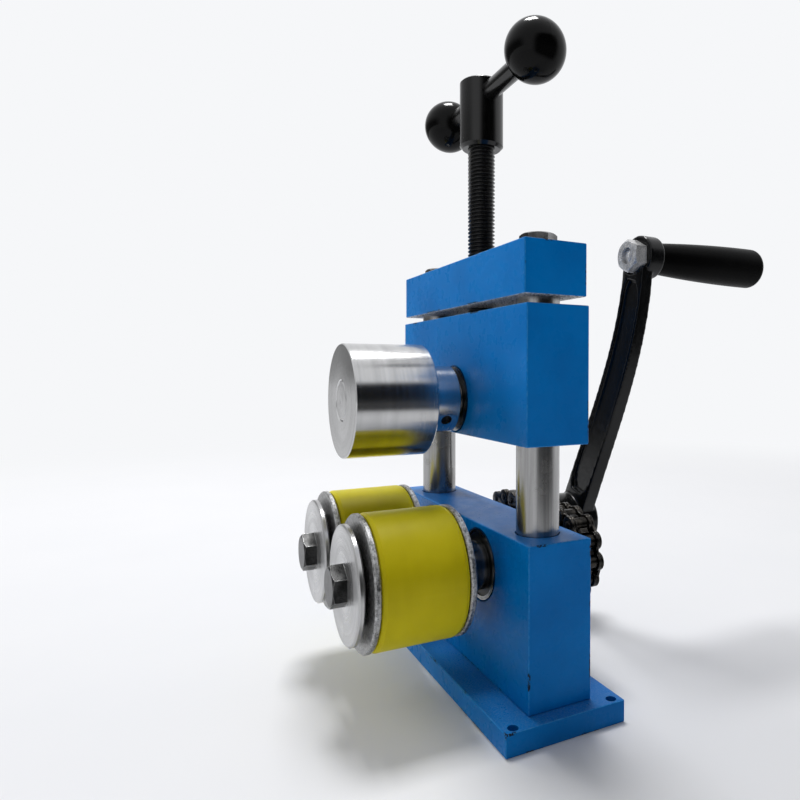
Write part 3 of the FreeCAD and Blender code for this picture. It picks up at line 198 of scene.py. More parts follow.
def blue_enamel(name, node, bare_underside=False):
    """Sprayed enamel with orange peel, dust specks, edges lighter from wear and a painted edge
    highlight, and a few chips.
    """
    paint = Finish(name, srgb(0, 108, 186), 0.3, Specular_IOR_Level=0.09)
    low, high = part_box(node)
    centre, half = (low + high) / 2, (high - low) / 2
    reach = paint.vector("ABSOLUTE", paint.vector("SUBTRACT", paint.place, tuple(centre)))
    x, y, z = paint.parts(paint.vector("SUBTRACT", tuple(half), reach))
    nearest = paint.math("MINIMUM", x, paint.math("MINIMUM", y, z))
    farthest = paint.math("MAXIMUM", x, paint.math("MAXIMUM", y, z))
    total = paint.math("ADD", x, paint.math("ADD", y, z))
    edge_gap = paint.math("SUBTRACT", total, paint.math("ADD", nearest, farthest))
    cloud = paint.noise(22, 4)
    colour = paint.mix(paint.between(cloud, 0.3, 0.7), srgb(0, 107, 183), srgb(0, 118, 197))
    up = paint.parts(paint.normal())["Z"]
    facing_up = paint.between(up, 0.6, 0.95)
    dust = paint.math("MULTIPLY", facing_up, paint.between(paint.noise(1100, 4), 0.35, 0.75))
    colour = paint.mix(paint.math("MULTIPLY", dust, 0.22), colour, srgb(150, 175, 205))
    speck = paint.between(paint.cells(260), 0.11, 0.05)
    speck = paint.math("MULTIPLY", speck, paint.between(paint.noise(70, 1), 0.56, 0.62))
    speck = paint.math("MULTIPLY", speck, paint.math("ADD", 0.15, facing_up, True))
    colour = paint.mix(speck, colour, srgb(12, 30, 60))
    ragged = paint.math("MULTIPLY", paint.math("SUBTRACT", paint.noise(520, 5), 0.5), 1.2 * mm)
    wear_gap = paint.math("ADD", edge_gap, ragged)
    # Lighter blue along the edges: worn paint and a painted edge highlight.
    wear_and_highlight = paint.math("MULTIPLY", paint.between(wear_gap, 0.50 * mm, 0.22 * mm), 0.55)
    colour = paint.mix(wear_and_highlight, colour, srgb(70, 150, 210))
    chip_zone = paint.between(paint.noise(48, 2), 0.57, 0.61)
    chip = paint.math("MULTIPLY", paint.between(wear_gap, 1.15 * mm, 0.85 * mm), chip_zone)
    chip = paint.math("MULTIPLY", chip, paint.between(paint.noise(800, 3), 0.44, 0.5))
    colour = paint.mix(chip, colour, srgb(16, 26, 42))
    rough = paint.blend(paint.between(paint.noise(140, 3), 0.35, 0.7), 0.26, 0.36)
    rough = paint.blend(paint.math("MAXIMUM", dust, chip), rough, 0.5)
    peel = paint.math("ADD", paint.noise(1250, 2), paint.math("MULTIPLY", paint.noise(430, 2), 0.5))
    peel = paint.math("SUBTRACT", peel, paint.math("MULTIPLY", chip, 1.5))
    paint.bump(peel, 0.05 * mm)
    if bare_underside:
        bare = paint.between(up, -0.6, -0.9)
        sand = paint.noise(950, 4)
        steel = paint.mix(paint.between(sand, 0.42, 0.56), grey(52), srgb(238, 236, 232))
        colour = paint.mix(bare, colour, steel)
        rough = paint.blend(bare, rough, 0.42)
        paint.set("Metallic", paint.math("MULTIPLY", bare, 0.2))
    paint.set("Base Color", colour)
    paint.set("Roughness", rough)
    return paint.material


def turned_steel(name, node, light, dark, roughness=0.2, groove=2600, face=1.0):
    """Steel turned about Y: fine lines round it, end faces darker by the share `face` as painted shade,
    and a painted highlight along the edges.
    """
    steel = Finish(name, grey(light), roughness, 1.0, Anisotropic=0.7, Anisotropic_Rotation=0.25)
    steel.set("Tangent", steel.add("ShaderNodeTangent", direction_type="RADIAL", axis="Y").outputs[0])
    radius, along, angle = lathe_place(steel, node)
    # How far the pattern drifts in one radian of the turn.
    line_drift, band_drift = 0.12 * mm, 0.6 * mm
    lines = steel.joined(radius, along, steel.math("MULTIPLY", angle, line_drift))
    fine = steel.noise(groove, 3, lines, 0.7)
    bands = steel.noise(240, 2, steel.joined(radius, along, steel.math("MULTIPLY", angle, band_drift)))
    smear = steel.noise(30, 3)
    tone = steel.math("ADD", steel.math("MULTIPLY", bands, 0.6), steel.math("MULTIPLY", smear, 0.4))
    colour = steel.mix(steel.between(tone, 0.35, 0.65), grey(dark), grey(light))
    # Painted shade: the end faces get a darker colour than the barrel, by the share `face`.
    facing = steel.math("ABSOLUTE", steel.parts(steel.normal())["Y"])
    painted_end_shade = steel.mix(steel.between(tone, 0.4, 0.6), grey(dark * face), grey(light * face))
    colour = steel.mix(steel.between(facing, 0.9, 0.98), colour, painted_end_shade)
    # Painted highlight: edges lighter.
    edge = steel.edges(0.7 * mm)
    colour = steel.mix(steel.math("MULTIPLY", edge, 0.7), colour, grey(235))
    rough = steel.blend(steel.between(fine, 0.3, 0.7), roughness * 0.8, roughness * 1.25)
    rough = steel.math("ADD", rough, steel.math("MULTIPLY", steel.between(smear, 0.5, 0.75), 0.05))
    steel.set("Base Color", colour)
    steel.set("Roughness", rough)
    steel.bump(fine, 0.006 * mm, 0.2)
    return steel.material


def polished_steel(name):
    """Ground and polished rod: faint streaks along Z and light handling marks."""
    light, dark = 166, 148
    steel = Finish(name, grey(light), 0.16, 1.0)
    x, y, z = steel.parts(steel.place)
    streaks = steel.noise(700, 3, steel.joined(x, y, steel.math("MULTIPLY", z, 0.02)), 0.6)
    marks = steel.noise(60, 4)
    colour = steel.mix(steel.between(streaks, 0.35, 0.65), grey(dark), grey(light))
    oil = steel.between(marks, 0.52, 0.72)
    colour = steel.mix(steel.math("MULTIPLY", oil, 0.3), colour, srgb(122, 120, 115))
    steel.set("Base Color", colour)
    steel.set("Roughness", steel.blend(oil, 0.24, 0.34))
    steel.bump(streaks, 0.003 * mm, 0.4)
    return steel.material


def galvanised_steel(name):
    """Rough zinc: coarse pitted skin with bright speckles and dark hollows, and a painted highlight
    along the edges.
    """
    zinc = Finish(name, grey(150), 0.42, 0.9)
    coarse = zinc.noise(520, 5, rough=0.65)
    fine = zinc.noise(2300, 3)
    spangle = zinc.cells(700, output="Color")
    tone = zinc.math("ADD", zinc.math("MULTIPLY", coarse, 0.7), zinc.math("MULTIPLY", fine, 0.3))
    colour = zinc.mix(zinc.between(tone, 0.38, 0.62), grey(70), grey(190))
    colour = zinc.mix(zinc.math("MULTIPLY", zinc.vector("LENGTH", spangle), 0.12), colour, grey(215))
    # Painted highlight: a broken light line along the edges.
    rim = zinc.math("MULTIPLY", zinc.edges(0.9 * mm), zinc.between(fine, 0.35, 0.55))
    colour = zinc.mix(rim, colour, grey(240))
    zinc.set("Base Color", colour)
    zinc.set("Roughness", zinc.blend(zinc.between(coarse, 0.3, 0.7), 0.30, 0.58))
    zinc.bump(tone, 0.18 * mm, 0.8)
    return zinc.material


def zinc_plated(name, light=205, roughness=0.3, drop=38, rim=0.8, metallic=1.0):
    """Plain zinc plating: satin, slightly mottled, with a painted highlight at the edges by the share
    `rim`.
    """
    zinc = Finish(name, grey(light), roughness, metallic)
    mottle = zinc.noise(160, 4)
    grain = zinc.noise(1900, 3)
    tone = zinc.math("ADD", zinc.math("MULTIPLY", mottle, 0.7), zinc.math("MULTIPLY", grain, 0.3))
    colour = zinc.mix(zinc.between(tone, 0.38, 0.62), grey(light - drop), grey(light))
    # Painted highlight along the edges.
    colour = zinc.mix(zinc.math("MULTIPLY", zinc.edges(0.5 * mm), rim), colour, grey(245))
    zinc.set("Base Color", colour)
    zinc.set("Roughness", zinc.blend(zinc.between(grain, 0.3, 0.7), roughness * 0.8, roughness * 1.35))
    zinc.bump(zinc.math("ADD", grain, mottle), 0.03 * mm, 0.5)
    return zinc.material


def black_oxide(name):
    """Oiled black oxide: satin black, browner where thin, and bright grey on the crests from wear and a
    painted highlight.
    """
    black = Finish(name, grey(12), 0.32, Specular_IOR_Level=0.45)
    patch = black.noise(120, 3)
    grain = black.noise(2100, 3)
    colour = black.mix(black.between(patch, 0.4, 0.7), srgb(7, 8, 9), srgb(16, 15, 15))
    # Light grey on edges and crests: wear and a painted highlight.
    wear_and_highlight = black.math("MULTIPLY", black.edges(0.35 * mm), black.between(grain, 0.35, 0.6))
    colour = black.mix(wear_and_highlight, colour, srgb(98, 98, 96))
    black.set("Base Color", colour)
    black.set("Roughness", black.blend(black.between(grain, 0.3, 0.7), 0.24, 0.4))
    black.bump(grain, 0.02 * mm, 0.6)
    return black.material


def satin_black(name, level, roughness, shine):
    """Black lacquer over turned steel, with a faint peel and a painted highlight along the edges."""
    black = Finish(name, grey(level), roughness, Specular_IOR_Level=shine)
    peel = black.noise(650, 3)
    smear = black.noise(40, 4)
    colour = black.mix(black.between(smear, 0.35, 0.7), grey(level - 3), grey(level + 4))
    # Painted highlight along the edges.
    colour = black.mix(black.math("MULTIPLY", black.edges(0.5 * mm), 0.4), colour, grey(58))
    smeared = black.between(smear, 0.3, 0.7)
    black.set("Base Color", colour)
    black.set("Roughness", black.blend(smeared, roughness * 0.85, roughness * 1.2))
    black.bump(peel, 0.04 * mm, 0.5)
    return black.material


def cast_enamel(name):
    """Thick black enamel over a casting: soft sand texture under a gloss skin, and a painted highlight
    along the edges.
    """
    black = Finish(name, grey(9), 0.2, Specular_IOR_Level=0.25)
    sand = black.noise(300, 4, rough=0.6)
    fine = black.noise(1400, 2)
    smear = black.noise(30, 3)
    colour = black.mix(black.between(smear, 0.35, 0.7), srgb(6, 7, 8), srgb(13, 14, 15))
    # Painted highlight along the edges.
    colour = black.mix(black.math("MULTIPLY", black.edges(0.6 * mm), 0.3), colour, grey(48))
    height = black.math("ADD", sand, black.math("MULTIPLY", fine, 0.2))
    black.set("Base Color", colour)
    black.set("Roughness", black.blend(black.between(sand, 0.35, 0.65), 0.16, 0.26))
    black.bump(height, 0.06 * mm, 0.4)
    return black.material


def gloss_plastic(name, roughness=0.12, shine=0.12):
    """Moulded black phenolic: deep gloss with faint flow marks and fine scratches."""
    black = Finish(name, grey(6), roughness, Specular_IOR_Level=shine)
    flow = black.noise(25, 3)
    scratch = black.noise(900, 4, black.vector("MULTIPLY", black.place, (1.0, 0.08, 1.0)))
    colour = black.mix(black.between(flow, 0.35, 0.7), grey(5), grey(10))
    scratched = black.between(scratch, 0.55, 0.75)
    black.set("Base Color", colour)
    black.set("Roughness", black.blend(scratched, roughness, roughness + 0.14))
    black.bump(black.math("ADD", flow, black.math("MULTIPLY", scratch, 0.02)), 0.2 * mm, 0.3)
    return black.material


def polyurethane(name, node):
    """Cast translucent polyurethane: cloudy yellow-olive body under a smooth satin skin."""
    rubber = Finish(
        name, srgb(205, 193, 10), 0.42, Specular_IOR_Level=0.13,
        Subsurface_Weight=0.5, Subsurface_Scale=5 * mm, Subsurface_Radius=(1.0, 0.85, 0.1))
    radius, along, angle = lathe_place(rubber, node)
    ring_drift, ring_share = 4 * mm, 0.15
    cloud = rubber.noise(26, 3)
    lines = rubber.joined(radius, along, rubber.math("MULTIPLY", angle, ring_drift))
    rings = rubber.noise(160, 2, lines)
    tone = rubber.blend(ring_share, cloud, rings)
    colour = rubber.mix(rubber.between(tone, 0.3, 0.7), srgb(196, 182, 12), srgb(210, 196, 20))
    dust = rubber.between(rubber.noise(1300, 3), 0.62, 0.74)
    colour = rubber.mix(rubber.math("MULTIPLY", dust, 0.1), colour, srgb(215, 212, 120))
    rubber.set("Base Color", colour)
    rubber.set("Roughness", rubber.blend(rubber.between(cloud, 0.35, 0.7), 0.4, 0.52))
    rubber.bump(rings, 0.08 * mm, 0.3)
    return rubber.material


def seal_rubber(name):
    """Moulded black rubber of the bearing seals, faintly grained."""
    rubber = Finish(name, grey(10), 0.4, Specular_IOR_Level=0.35)
    grain = rubber.noise(1500, 3)
    colour = rubber.mix(rubber.between(rubber.noise(200, 3), 0.4, 0.7), grey(8), grey(17))
    rubber.set("Base Color", colour)
    rubber.set("Roughness", rubber.blend(grain, 0.3, 0.5))
    rubber.bump(grain, 0.02 * mm, 0.5)
    return rubber.material


def bronze(name):
    metal = Finish(name, srgb(176, 130, 62), 0.3, 1.0)
    tone = metal.noise(140, 4)
    colour = metal.mix(metal.between(tone, 0.35, 0.7), srgb(150, 104, 44), srgb(196, 152, 80))
    metal.set("Base Color", colour)
    metal.set("Roughness", metal.blend(tone, 0.22, 0.4))
    metal.bump(metal.noise(1600, 3), 0.02 * mm, 0.5)
    return metal.material


def dark_steel(name):
    """Oiled dark steel of the sprockets and chain, light grey at the edges from wear and a painted
    highlight.
    """
    steel = Finish(name, grey(60), 0.28, 0.9)
    patch = steel.noise(150, 4)
    grain = steel.noise(1900, 3)
    colour = steel.mix(steel.between(patch, 0.35, 0.7), srgb(30, 29, 28), srgb(74, 70, 65))
    # Light grey along the edges: wear and a painted highlight.
    wear_and_highlight = steel.math("MULTIPLY", steel.edges(0.4 * mm), steel.between(grain, 0.3, 0.55))
    colour = steel.mix(wear_and_highlight, colour, srgb(175, 172, 168))
    steel.set("Base Color", colour)
    steel.set("Roughness", steel.blend(steel.between(grain, 0.3, 0.7), 0.2, 0.38))
    steel.bump(grain, 0.03 * mm, 0.6)
    return steel.material


def dress_frame():
    """Give every node of the frame its finish, by its slot and, where it matters, by name."""
    shared = {
        "polished_steel": polished_steel("polished_rod"),
        "galvanised_steel": galvanised_steel("rough_zinc"),
        "zinc_steel": zinc_plated("zinc_plating"),
        "black_steel": black_oxide("black_oxide"),
        "dark_steel": dark_steel("oiled_steel"),
        "bearing_steel": zinc_plated("ground_bearing_steel", 128, 0.2),
        "turned_steel": zinc_plated("plain_turned_steel", 170, 0.28),
        "black_enamel": cast_enamel("cast_black_enamel"),
        "black_plastic": gloss_plastic("black_phenolic"),
        "seal_rubber": seal_rubber("seal_rubber"),
        "bronze": bronze("thrust_bronze"),
    }
    # Painted shade: the end bolts' zinc is dark grey, for a dark reflection.
    bolt_zinc = zinc_plated("bolt_zinc", 66, 0.3, 30, 0.55)
    # Painted light: the nut's zinc is lighter than the shared plating, against the shade it stands in.
    painted_light_nut_zinc = zinc_plated("painted_light_nut_zinc", 222, 0.22, 40, metallic=0.4)
    lacquer = satin_black("handle_lacquer", 7, 0.19, 0.42)
    spacer_black = satin_black("spacer_black", 8, 0.5, 0.1)
    own = {
        "base_plate": blue_enamel("enamel_base", "base_plate"),
        "lower_block": blue_enamel("enamel_block", "lower_block"),
        "slider_block": blue_enamel("enamel_slider", "slider_block"),
        "top_beam": blue_enamel("enamel_beam", "top_beam", bare_underside=True),
        # Painted shade: the end faces of the top roller and shaft are darker, by the share `face`.
        "top_roller": turned_steel("turned_roller", "top_roller", light=204, dark=188, face=0.78),
        "top_shaft": turned_steel("turned_top_shaft", "top_shaft", light=196, dark=176, face=0.86),
        "handle_hub": lacquer,
        "lever_bar": lacquer,
        "grip": gloss_plastic("grip_phenolic", 0.34, 0.03),
        # Painted shade: the post bolts' zinc is darker, for a dark reflection.
        "post_bolts": zinc_plated("post_bolt_zinc", 132, 0.18, 45, 0.9),
        "spindle_nut": painted_light_nut_zinc,
        "grip_spindle": painted_light_nut_zinc,
    }
    for name in ("drive_shaft", "driven_shaft"):
        own[name] = turned_steel("turned_" + name, name, light=120, dark=80)
    for side in ("left", "right"):
        own[side + "_roller_sleeve"] = polyurethane("polyurethane_" + side, side + "_roller_sleeve")
        own[side + "_clamp_washer"] = turned_steel(
            "washer_" + side, side + "_clamp_washer", light=192, dark=176, roughness=0.3, groove=1500)
        own[side + "_end_bolt"] = bolt_zinc
        own[side + "_spacer_ring"] = spacer_black
    for name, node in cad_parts.items():
        slot = node.data.materials[0].name.split(".")[0]
        finish = own.get(name) or shared[slot]
        for index in range(len(node.data.materials)):
            node.data.materials[index] = finish


# Modelled pieces

def node_mesh(name):
    """A node's mesh as one closed surface, its doubled vertices merged."""
    build = bmesh.new()
    build.from_mesh(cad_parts[name].data)
    bmesh.ops.remove_doubles(build, verts=build.verts, dist=0.002 * mm)
    return build


def add_piece(name, build, node, body, sharp=30):
    """Turn a built mesh into the piece that stands for a node, with that node's finish."""
    mesh = bpy.data.meshes.new(name)
    build.to_mesh(mesh)
    build.free()
    for face in mesh.polygons:
        face.use_smooth = True
    mesh.set_sharp_from_angle(angle=math.radians(sharp))
    mesh.materials.append(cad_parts[node].data.materials[0])
    piece = bpy.data.objects.new(name, mesh)
    scene.collection.objects.link(piece)
    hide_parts(node)
    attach(piece, body)


def lathe(build, profile, centre, axis="Y", segments=48):
    """Add a closed turned solid: (radius, station) pairs from one end's centre to the other's.

    An end's centre is one vertex, so the faces that meet there have three corners.
    """
    rings = []
    for radius, station in profile:
        ring = []
        for index in range(segments if radius > 0 else 1):
            angle = 2 * math.pi * index / segments
            across = (radius * math.cos(angle), radius * math.sin(angle))
            offset = (across[0], station, across[1]) if axis == "Y" else (across[0], across[1], station)
            ring.append(build.verts.new(Vector(centre) + Vector(offset)))
        rings.append(ring)
    for low, high in zip(rings, rings[1:]):
        for index in range(segments):
            after = (index + 1) % segments
            spots = ((low, index), (low, after), (high, after), (high, index))
            corners = [ring[spot % len(ring)] for ring, spot in spots]
            build.faces.new(list(dict.fromkeys(corners)))


def cylinder(build, centre, radius, front, back):
    """Add a closed cylinder along Y."""
    lathe(build, [(0, front), (radius, front), (radius, back), (0, back)], (centre.x, 0, centre.z))


def islands(build):
    """Groups of connected vertices."""
    waiting = set(build.verts)
    while waiting:
        group, frontier = set(), [waiting.pop()]
        while frontier:
            vertex = frontier.pop()
            group.add(vertex)
            for edge in vertex.link_edges:
                other = edge.other_vert(vertex)
                if other in waiting:
                    waiting.remove(other)
                    frontier.append(other)
        yield group


def scratch_object(build, name):
    """A linked object that holds a built mesh for a modifier to use."""
    bmesh.ops.recalc_face_normals(build, faces=build.faces)
    item = bpy.data.objects.new(name, bpy.data.meshes.new(name))
    build.to_mesh(item.data)
    build.free()
    scene.collection.objects.link(item)
    return item


def cut_by(whole, tool, overlapping=False):
    """Subtract the tool; overlapping says that the whole's own solids cross each other."""
    cut = whole.modifiers.new(tool.name, "BOOLEAN")
    cut.operation = "DIFFERENCE"
    cut.solver = "EXACT"
    cut.use_self = overlapping
    cut.object = tool


def carved(build, hollows, bores):
    """Cut hollows out of a mesh, skin it and soften its edges, then cut clean bores."""
    whole = scratch_object(build, "casting_blank")
    hollow_tool, bore_tool = scratch_object(hollows, "hollows"), scratch_object(bores, "bores")
    cut_by(whole, hollow_tool, True)
    skin = whole.modifiers.new("skin", "REMESH")
    skin.mode = "VOXEL"
    skin.voxel_size = 0.75 * mm
    soften = whole.modifiers.new("soften", "SMOOTH")
    soften.factor = 0.5
    soften.iterations = 4
    cut_by(whole, bore_tool)
    bpy.context.view_layer.update()
    evaluated = whole.evaluated_get(bpy.context.evaluated_depsgraph_get())
    result = bmesh.new()
    result.from_mesh(evaluated.to_mesh())
    for item in (whole, hollow_tool, bore_tool):
        bpy.data.objects.remove(item)
    return result


def arm_hollows(build, shaft, grip):
    """Long hollows for the arm's front and back faces, inside its rims.

    Rays find the arm's sides and faces at each station on the way from the shaft to the grip.
    """
    rim, depth, draft, proud = 2.2 * mm, 3.4 * mm, 0.7 * mm, 3 * mm
    first_share, last_share, stations = 0.125, 0.92, 30
    end_widths = (0.55, 0.85, 0.97)
    far, inside = 80 * mm, 5 * mm
    tree = BVHTree.FromBMesh(build)
    along = Vector((grip.x - shaft.x, 0, grip.z - shaft.z))
    across = Vector((along.z, 0, -along.x)).normalized()
    middle_y = (shaft.y + grip.y) / 2
    hollows = bmesh.new()
    outward = {"front": Vector((0, -1, 0)), "back": Vector((0, 1, 0))}
    rows = {"front": [], "back": []}
    for index in range(stations + 1):
        share = first_share + (last_share - first_share) * index / stations
        spot = Vector((shaft.x, middle_y, shaft.z)) + along * share
        near = tree.ray_cast(spot + outward["front"] * far * 2, outward["back"])[0]
        level = Vector((spot.x, near.y + inside, spot.z))
        right = tree.ray_cast(level + across * far, -across)[0]
        left = tree.ray_cast(level - across * far, across)[0]
        centre, half = (left + right) / 2, (right - left).length / 2 - rim
        from_end = min(index, stations - index)
        if from_end < len(end_widths):
            half *= end_widths[from_end]
        section = [(-half, -proud), (half, -proud), (half - draft, depth), (draft - half, depth)]
        for side, out in outward.items():
            face = tree.ray_cast(centre + out * far * 2, -out)[0]
            rows[side].append([hollows.verts.new(face + across * u - out * v) for u, v in section])
    for loops in rows.values():
        for first, second in zip(loops, loops[1:]):
            for corner in range(len(first)):
                after = (corner + 1) % len(first)
                hollows.faces.new((first[corner], first[after], second[after], second[corner]))
        hollows.faces.new(loops[0])
        hollows.faces.new(loops[-1])
    return hollows


def make_casting():
    """The crank arm as a casting: hollowed faces, rounded edges, a lump on the boss, clean bores."""
    shaft, grip = middle("crank_washer"), middle("spindle_nut")
    low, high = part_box("crank_arm")
    boss_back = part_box("crank_washer")[0].y
    eye_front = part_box("spindle_nut")[1].y
    lump_radius, lump_inset, lump_rise = 5 * mm, 10.5 * mm, 20.5 * mm
    shaft_bore, spindle_bore = 10.1 * mm, 6.1 * mm
    plug_wall, plug_inset, overrun = 1 * mm, 2 * mm, 3 * mm
    build, bores = node_mesh("crank_arm"), bmesh.new()
    hollows = arm_hollows(build, shaft, grip)
    lump = Matrix.Translation((shaft.x, boss_back - lump_inset, shaft.z + lump_rise))
    bmesh.ops.create_icosphere(build, subdivisions=3, radius=lump_radius, matrix=lump)
    # The rough bores are plugged before the skin goes on, and the clean ones are cut through it.
    shaft_hole = (shaft, shaft_bore, low.y, boss_back)
    spindle_hole = (grip, spindle_bore, eye_front, high.y)
    for centre, radius, front, back in (shaft_hole, spindle_hole):
        cylinder(build, centre, radius + plug_wall, front + plug_inset, back - plug_inset)
        cylinder(bores, centre, radius, front - overrun, back + overrun)
    casting = carved(build, hollows, bores)
    add_piece("crank_casting", casting, "crank_arm", "drive", 50)


def make_screw():
    """Pressing screw with a true right-hand thread, plain above and below it."""
    pitch, depth, spigot = 2.5 * mm, 1.35 * mm, 7 * mm
    chamfer, plate_gap = 0.3 * mm, 0.3 * mm
    segments = 48
    low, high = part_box("lead_screw")
    centre = (low + high) / 2
    radius = (high.x - low.x) / 2
    root = radius - depth
    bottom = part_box("screw_retainer_plate")[1].z + plate_gap
    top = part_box("handle_hub")[0].z
    # One turn's section: how far out, and at what share of the pitch.
    tooth = ((root, 0.10), (radius, 0.42), (radius, 0.58), (root, 0.90))
    build = bmesh.new()
    steps = math.ceil((top - bottom) / pitch + 1) * segments
    strip = []
    for step in range(steps):
        angle = 2 * math.pi * step / segments
        start = bottom + pitch * (step / segments - 1)
        row = []
        for reach, share in tooth:
            x = centre.x + reach * math.cos(angle)
            y = centre.y + reach * math.sin(angle)
            z = min(max(start + share * pitch, bottom), top)
            row.append(build.verts.new((x, y, z)))
        strip.append(row)
    for first, second in zip(strip, strip[1:]):
        for index in range(len(tooth) - 1):
            build.faces.new((first[index], second[index], second[index + 1], first[index + 1]))
    for step in range(steps - segments - 1):
        above = strip[step + segments], strip[step + segments + 1]
        build.faces.new((strip[step][-1], strip[step + 1][-1], above[1][0], above[0][0]))
    base = (centre.x, centre.y, 0)
    core = [
        (0, low.z), (spigot - chamfer, low.z), (spigot, low.z + chamfer), (spigot, bottom),
        (root, bottom), (root, high.z), (0, high.z)]
    lathe(build, core, base, "Z")
    bmesh.ops.recalc_face_normals(build, faces=build.faces)
    add_piece("threaded_screw", build, "lead_screw", "screw", 25)


def rounded_plates(node, name):
    """A node's chain plates with rounded edges."""
    edge_round = 0.25 * mm
    flat, clear = math.radians(1), math.radians(60)
    build = node_mesh(node)
    bmesh.ops.dissolve_limit(
        build, angle_limit=flat, verts=build.verts, edges=build.edges, delimit={"NORMAL"})
    shared = [edge for edge in build.edges if len(edge.link_faces) == 2]
    edges = [edge for edge in shared if edge.calc_face_angle() > clear]
    bmesh.ops.bevel(build, geom=edges, offset=edge_round, segments=2, affect="EDGES", profile=0.5)
    add_piece(name, build, node, "frame")


def turned_copies(node, name, rise, head=0.0):
    """A node's pins or rollers with domed ends, which stand out as heads where head is above 0."""
    flat_share, shoulder_share, shoulder_drop, head_depth = 0.55, 0.86, 0.35, 1.5
    source, build = node_mesh(node), bmesh.new()
    for group in islands(source):
        low = Vector([min(vertex.co[axis] for vertex in group) for axis in range(3)])
        high = Vector([max(vertex.co[axis] for vertex in group) for axis in range(3)])
        centre, half = (low + high) / 2, (high.y - low.y) / 2
        radius = (high.x - low.x) / 2 + head
        side = [
            (0, half), (radius * flat_share, half),
            (radius * shoulder_share, half - rise * shoulder_drop), (radius, half - rise)]
        if head:
            under = half - rise * head_depth
            side += [(radius, under), (radius - head, under)]
        profile = [(reach, -station) for reach, station in side] + side[::-1]
        lathe(build, profile, centre, segments=28)
    source.free()
    bmesh.ops.recalc_face_normals(build, faces=build.faces)
    add_piece(name, build, node, "frame", 40)


def make_chain():
    rounded_plates("chain_inner_plates", "chain_inner_links")
    rounded_plates("chain_outer_plates", "chain_outer_links")
    turned_copies("chain_pins", "chain_riveted_pins", 0.35 * mm, head=0.4 * mm)
    turned_copies("chain_rollers", "chain_turned_rollers", 0.4 * mm)


# Camera: the photograph's standpoint, fitted to the edges of the painted blocks and rollers
image_size = 800
focal_pixels = 649.04
centre_x, centre_y = 518.23, 381.06
yaw, pitch, roll = math.radians(61.117), math.radians(-0.903), math.radians(0.110)
standpoint = Vector((0.39558, -0.18870, 0.19599))


def make_camera():
    data = bpy.data.cameras.new("camera")
    data.sensor_width = 36
    data.lens = focal_pixels / image_size * data.sensor_width
    data.shift_x = (image_size / 2 - centre_x) / image_size
    data.shift_y = (centre_y - image_size / 2) / image_size
    data.clip_start, data.clip_end = 0.01, 50
    camera = bpy.data.objects.new("camera", data)
    scene.collection.objects.link(camera)
    level = math.cos(pitch)
    forward = Vector((-math.sin(yaw) * level, math.cos(yaw) * level, math.sin(pitch)))
    right = Vector((math.cos(yaw), math.sin(yaw), 0))
    up = right.cross(forward)
    right, up = (
        right * math.cos(roll) + up * math.sin(roll),
        up * math.cos(roll) - right * math.sin(roll),
    )
    turn = Matrix((right, up, -forward)).transposed().to_4x4()
    camera.matrix_world = Matrix.Translation(standpoint) @ turn
    scene.camera = camera


# Studio
backdrop_colour = srgb(246, 247, 249)
# How strongly the room lights the object; looked at or reflected, it has strength 1.
ambient = 0.38
# Directions from the object, as the viewer has them: behind on the right, and at the left.
behind_right, left_hand = (0.98, 0.20, 0.0), (-0.55, -0.83, 0.0)


def area_light(name, position, target, size, power):
    data = bpy.data.lights.new(name, "AREA")
    data.shape = "RECTANGLE"
    data.size, data.size_y = size
    data.energy = power
    light = bpy.data.objects.new(name, data)
    scene.collection.objects.link(light)
    aim = Vector(target) - Vector(position)
    light.location = position
    light.rotation_mode = "QUATERNION"
    light.rotation_quaternion = aim.to_track_quat("-Z", "Y")
    return light


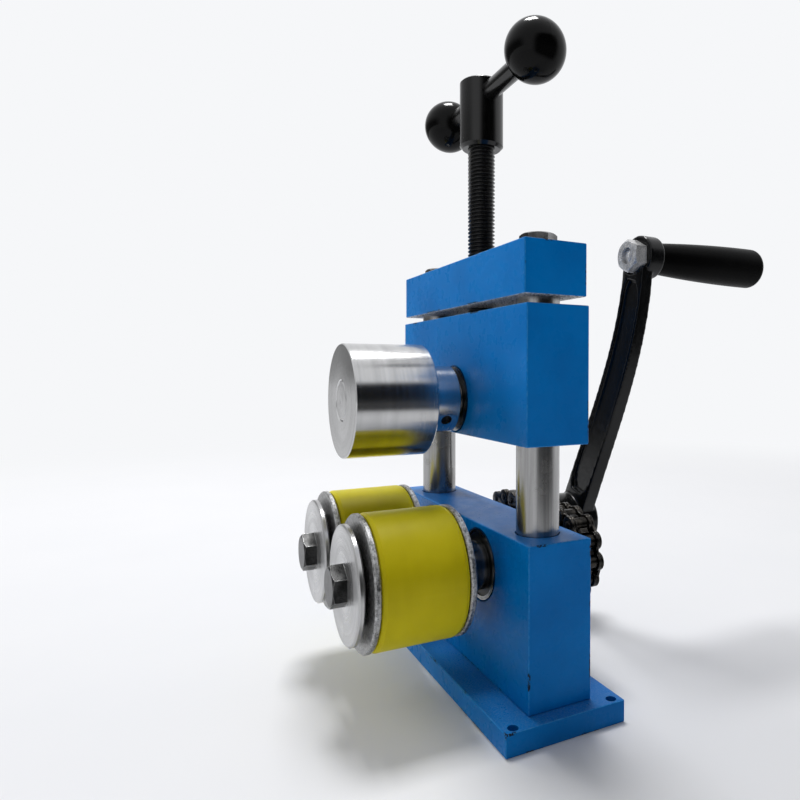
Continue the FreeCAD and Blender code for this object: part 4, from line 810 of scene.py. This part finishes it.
def make_world():
    """White for the camera; the object sees a room that is dark behind the viewer, grey at the left."""
    world = bpy.data.worlds.new("studio")
    scene.world = world
    world.use_nodes = True
    studio = Nodes(world.node_tree, "Generated")
    height = studio.parts(studio.place)["Z"]
    dark_side = studio.between(studio.vector("DOT_PRODUCT", studio.place, behind_right), 0.55, 0.85)
    dark_side = studio.math("MULTIPLY", dark_side, studio.between(height, 0.66, 0.5))
    grey_side = studio.between(studio.vector("DOT_PRODUCT", studio.place, left_hand), 0.45, 0.85)
    grey_side = studio.math("MULTIPLY", grey_side, studio.between(height, 0.6, 0.2))
    room = studio.mix(grey_side, backdrop_colour, grey(100))
    room = studio.mix(dark_side, room, grey(24))
    path = studio.add("ShaderNodeLightPath").outputs
    colour = studio.mix(path["Is Camera Ray"], room, backdrop_colour)
    plain = studio.math("MAXIMUM", path["Is Camera Ray"], path["Is Glossy Ray"])
    plain = studio.math("MAXIMUM", plain, path["Is Transmission Ray"])
    background = studio.add("ShaderNodeBackground")
    studio.put(colour, background.inputs["Color"])
    studio.put(studio.blend(plain, ambient, 1.0), background.inputs["Strength"])
    output = studio.add("ShaderNodeOutputWorld")
    studio.put(background.outputs[0], output.inputs["Surface"])


def make_floor():
    """Pale floor that fades into the backdrop's colour, and reflects dark where the room is dark."""
    floor_radius, fade_start, fade_end = 12, 0.55, 1.5
    mesh = bpy.data.meshes.new("floor")
    build = bmesh.new()
    bmesh.ops.create_circle(build, cap_ends=True, radius=floor_radius, segments=96)
    build.to_mesh(mesh)
    build.free()
    floor = bpy.data.objects.new("floor", mesh)
    scene.collection.objects.link(floor)
    finish = Finish("pale_floor", srgb(231, 231, 234), 0.55, Specular_IOR_Level=0.3)
    mottle = finish.noise(6, 3)
    finish.set("Base Color", finish.mix(mottle, srgb(228, 229, 232), srgb(234, 234, 236)))
    glossy = finish.add("ShaderNodeLightPath").outputs["Is Glossy Ray"]
    reach = finish.vector("LENGTH", finish.place)
    beside = finish.vector("DOT_PRODUCT", finish.place, behind_right)
    shade = finish.between(finish.math("DIVIDE", beside, reach), 0.55, 0.85)
    shade = finish.math("MULTIPLY", shade, finish.between(beside, 0.25, 0.7))
    shade = finish.math("MULTIPLY", shade, glossy)
    glow = finish.add("ShaderNodeEmission")
    finish.put(finish.mix(shade, backdrop_colour, grey(62)), glow.inputs["Color"])
    fade = finish.between(reach, fade_start, fade_end)
    blend = finish.add("ShaderNodeMixShader")
    finish.put(finish.math("MAXIMUM", fade, shade), blend.inputs[0])
    finish.put(finish.bsdf.outputs[0], blend.inputs[1])
    finish.put(glow.outputs[0], blend.inputs[2])
    finish.put(blend.outputs[0], finish.surface)
    mesh.materials.append(finish.material)


def make_lights():
    """A soft key from the left, which reflections don't see, and a smaller lamp overhead."""
    aim = (0, 0, 0.17)
    key = area_light("key", (-3.4, -2.0, 1.48), aim, (1.75, 1.75), 108)
    key.visible_glossy = False
    area_light("overhead", (-0.5, 0.1, 2.4), aim, (0.6, 0.6), 37)


dress_frame()
make_casting()
make_screw()
make_chain()
make_camera()
make_world()
make_floor()
make_lights()

scene.view_settings.view_transform = "Standard"
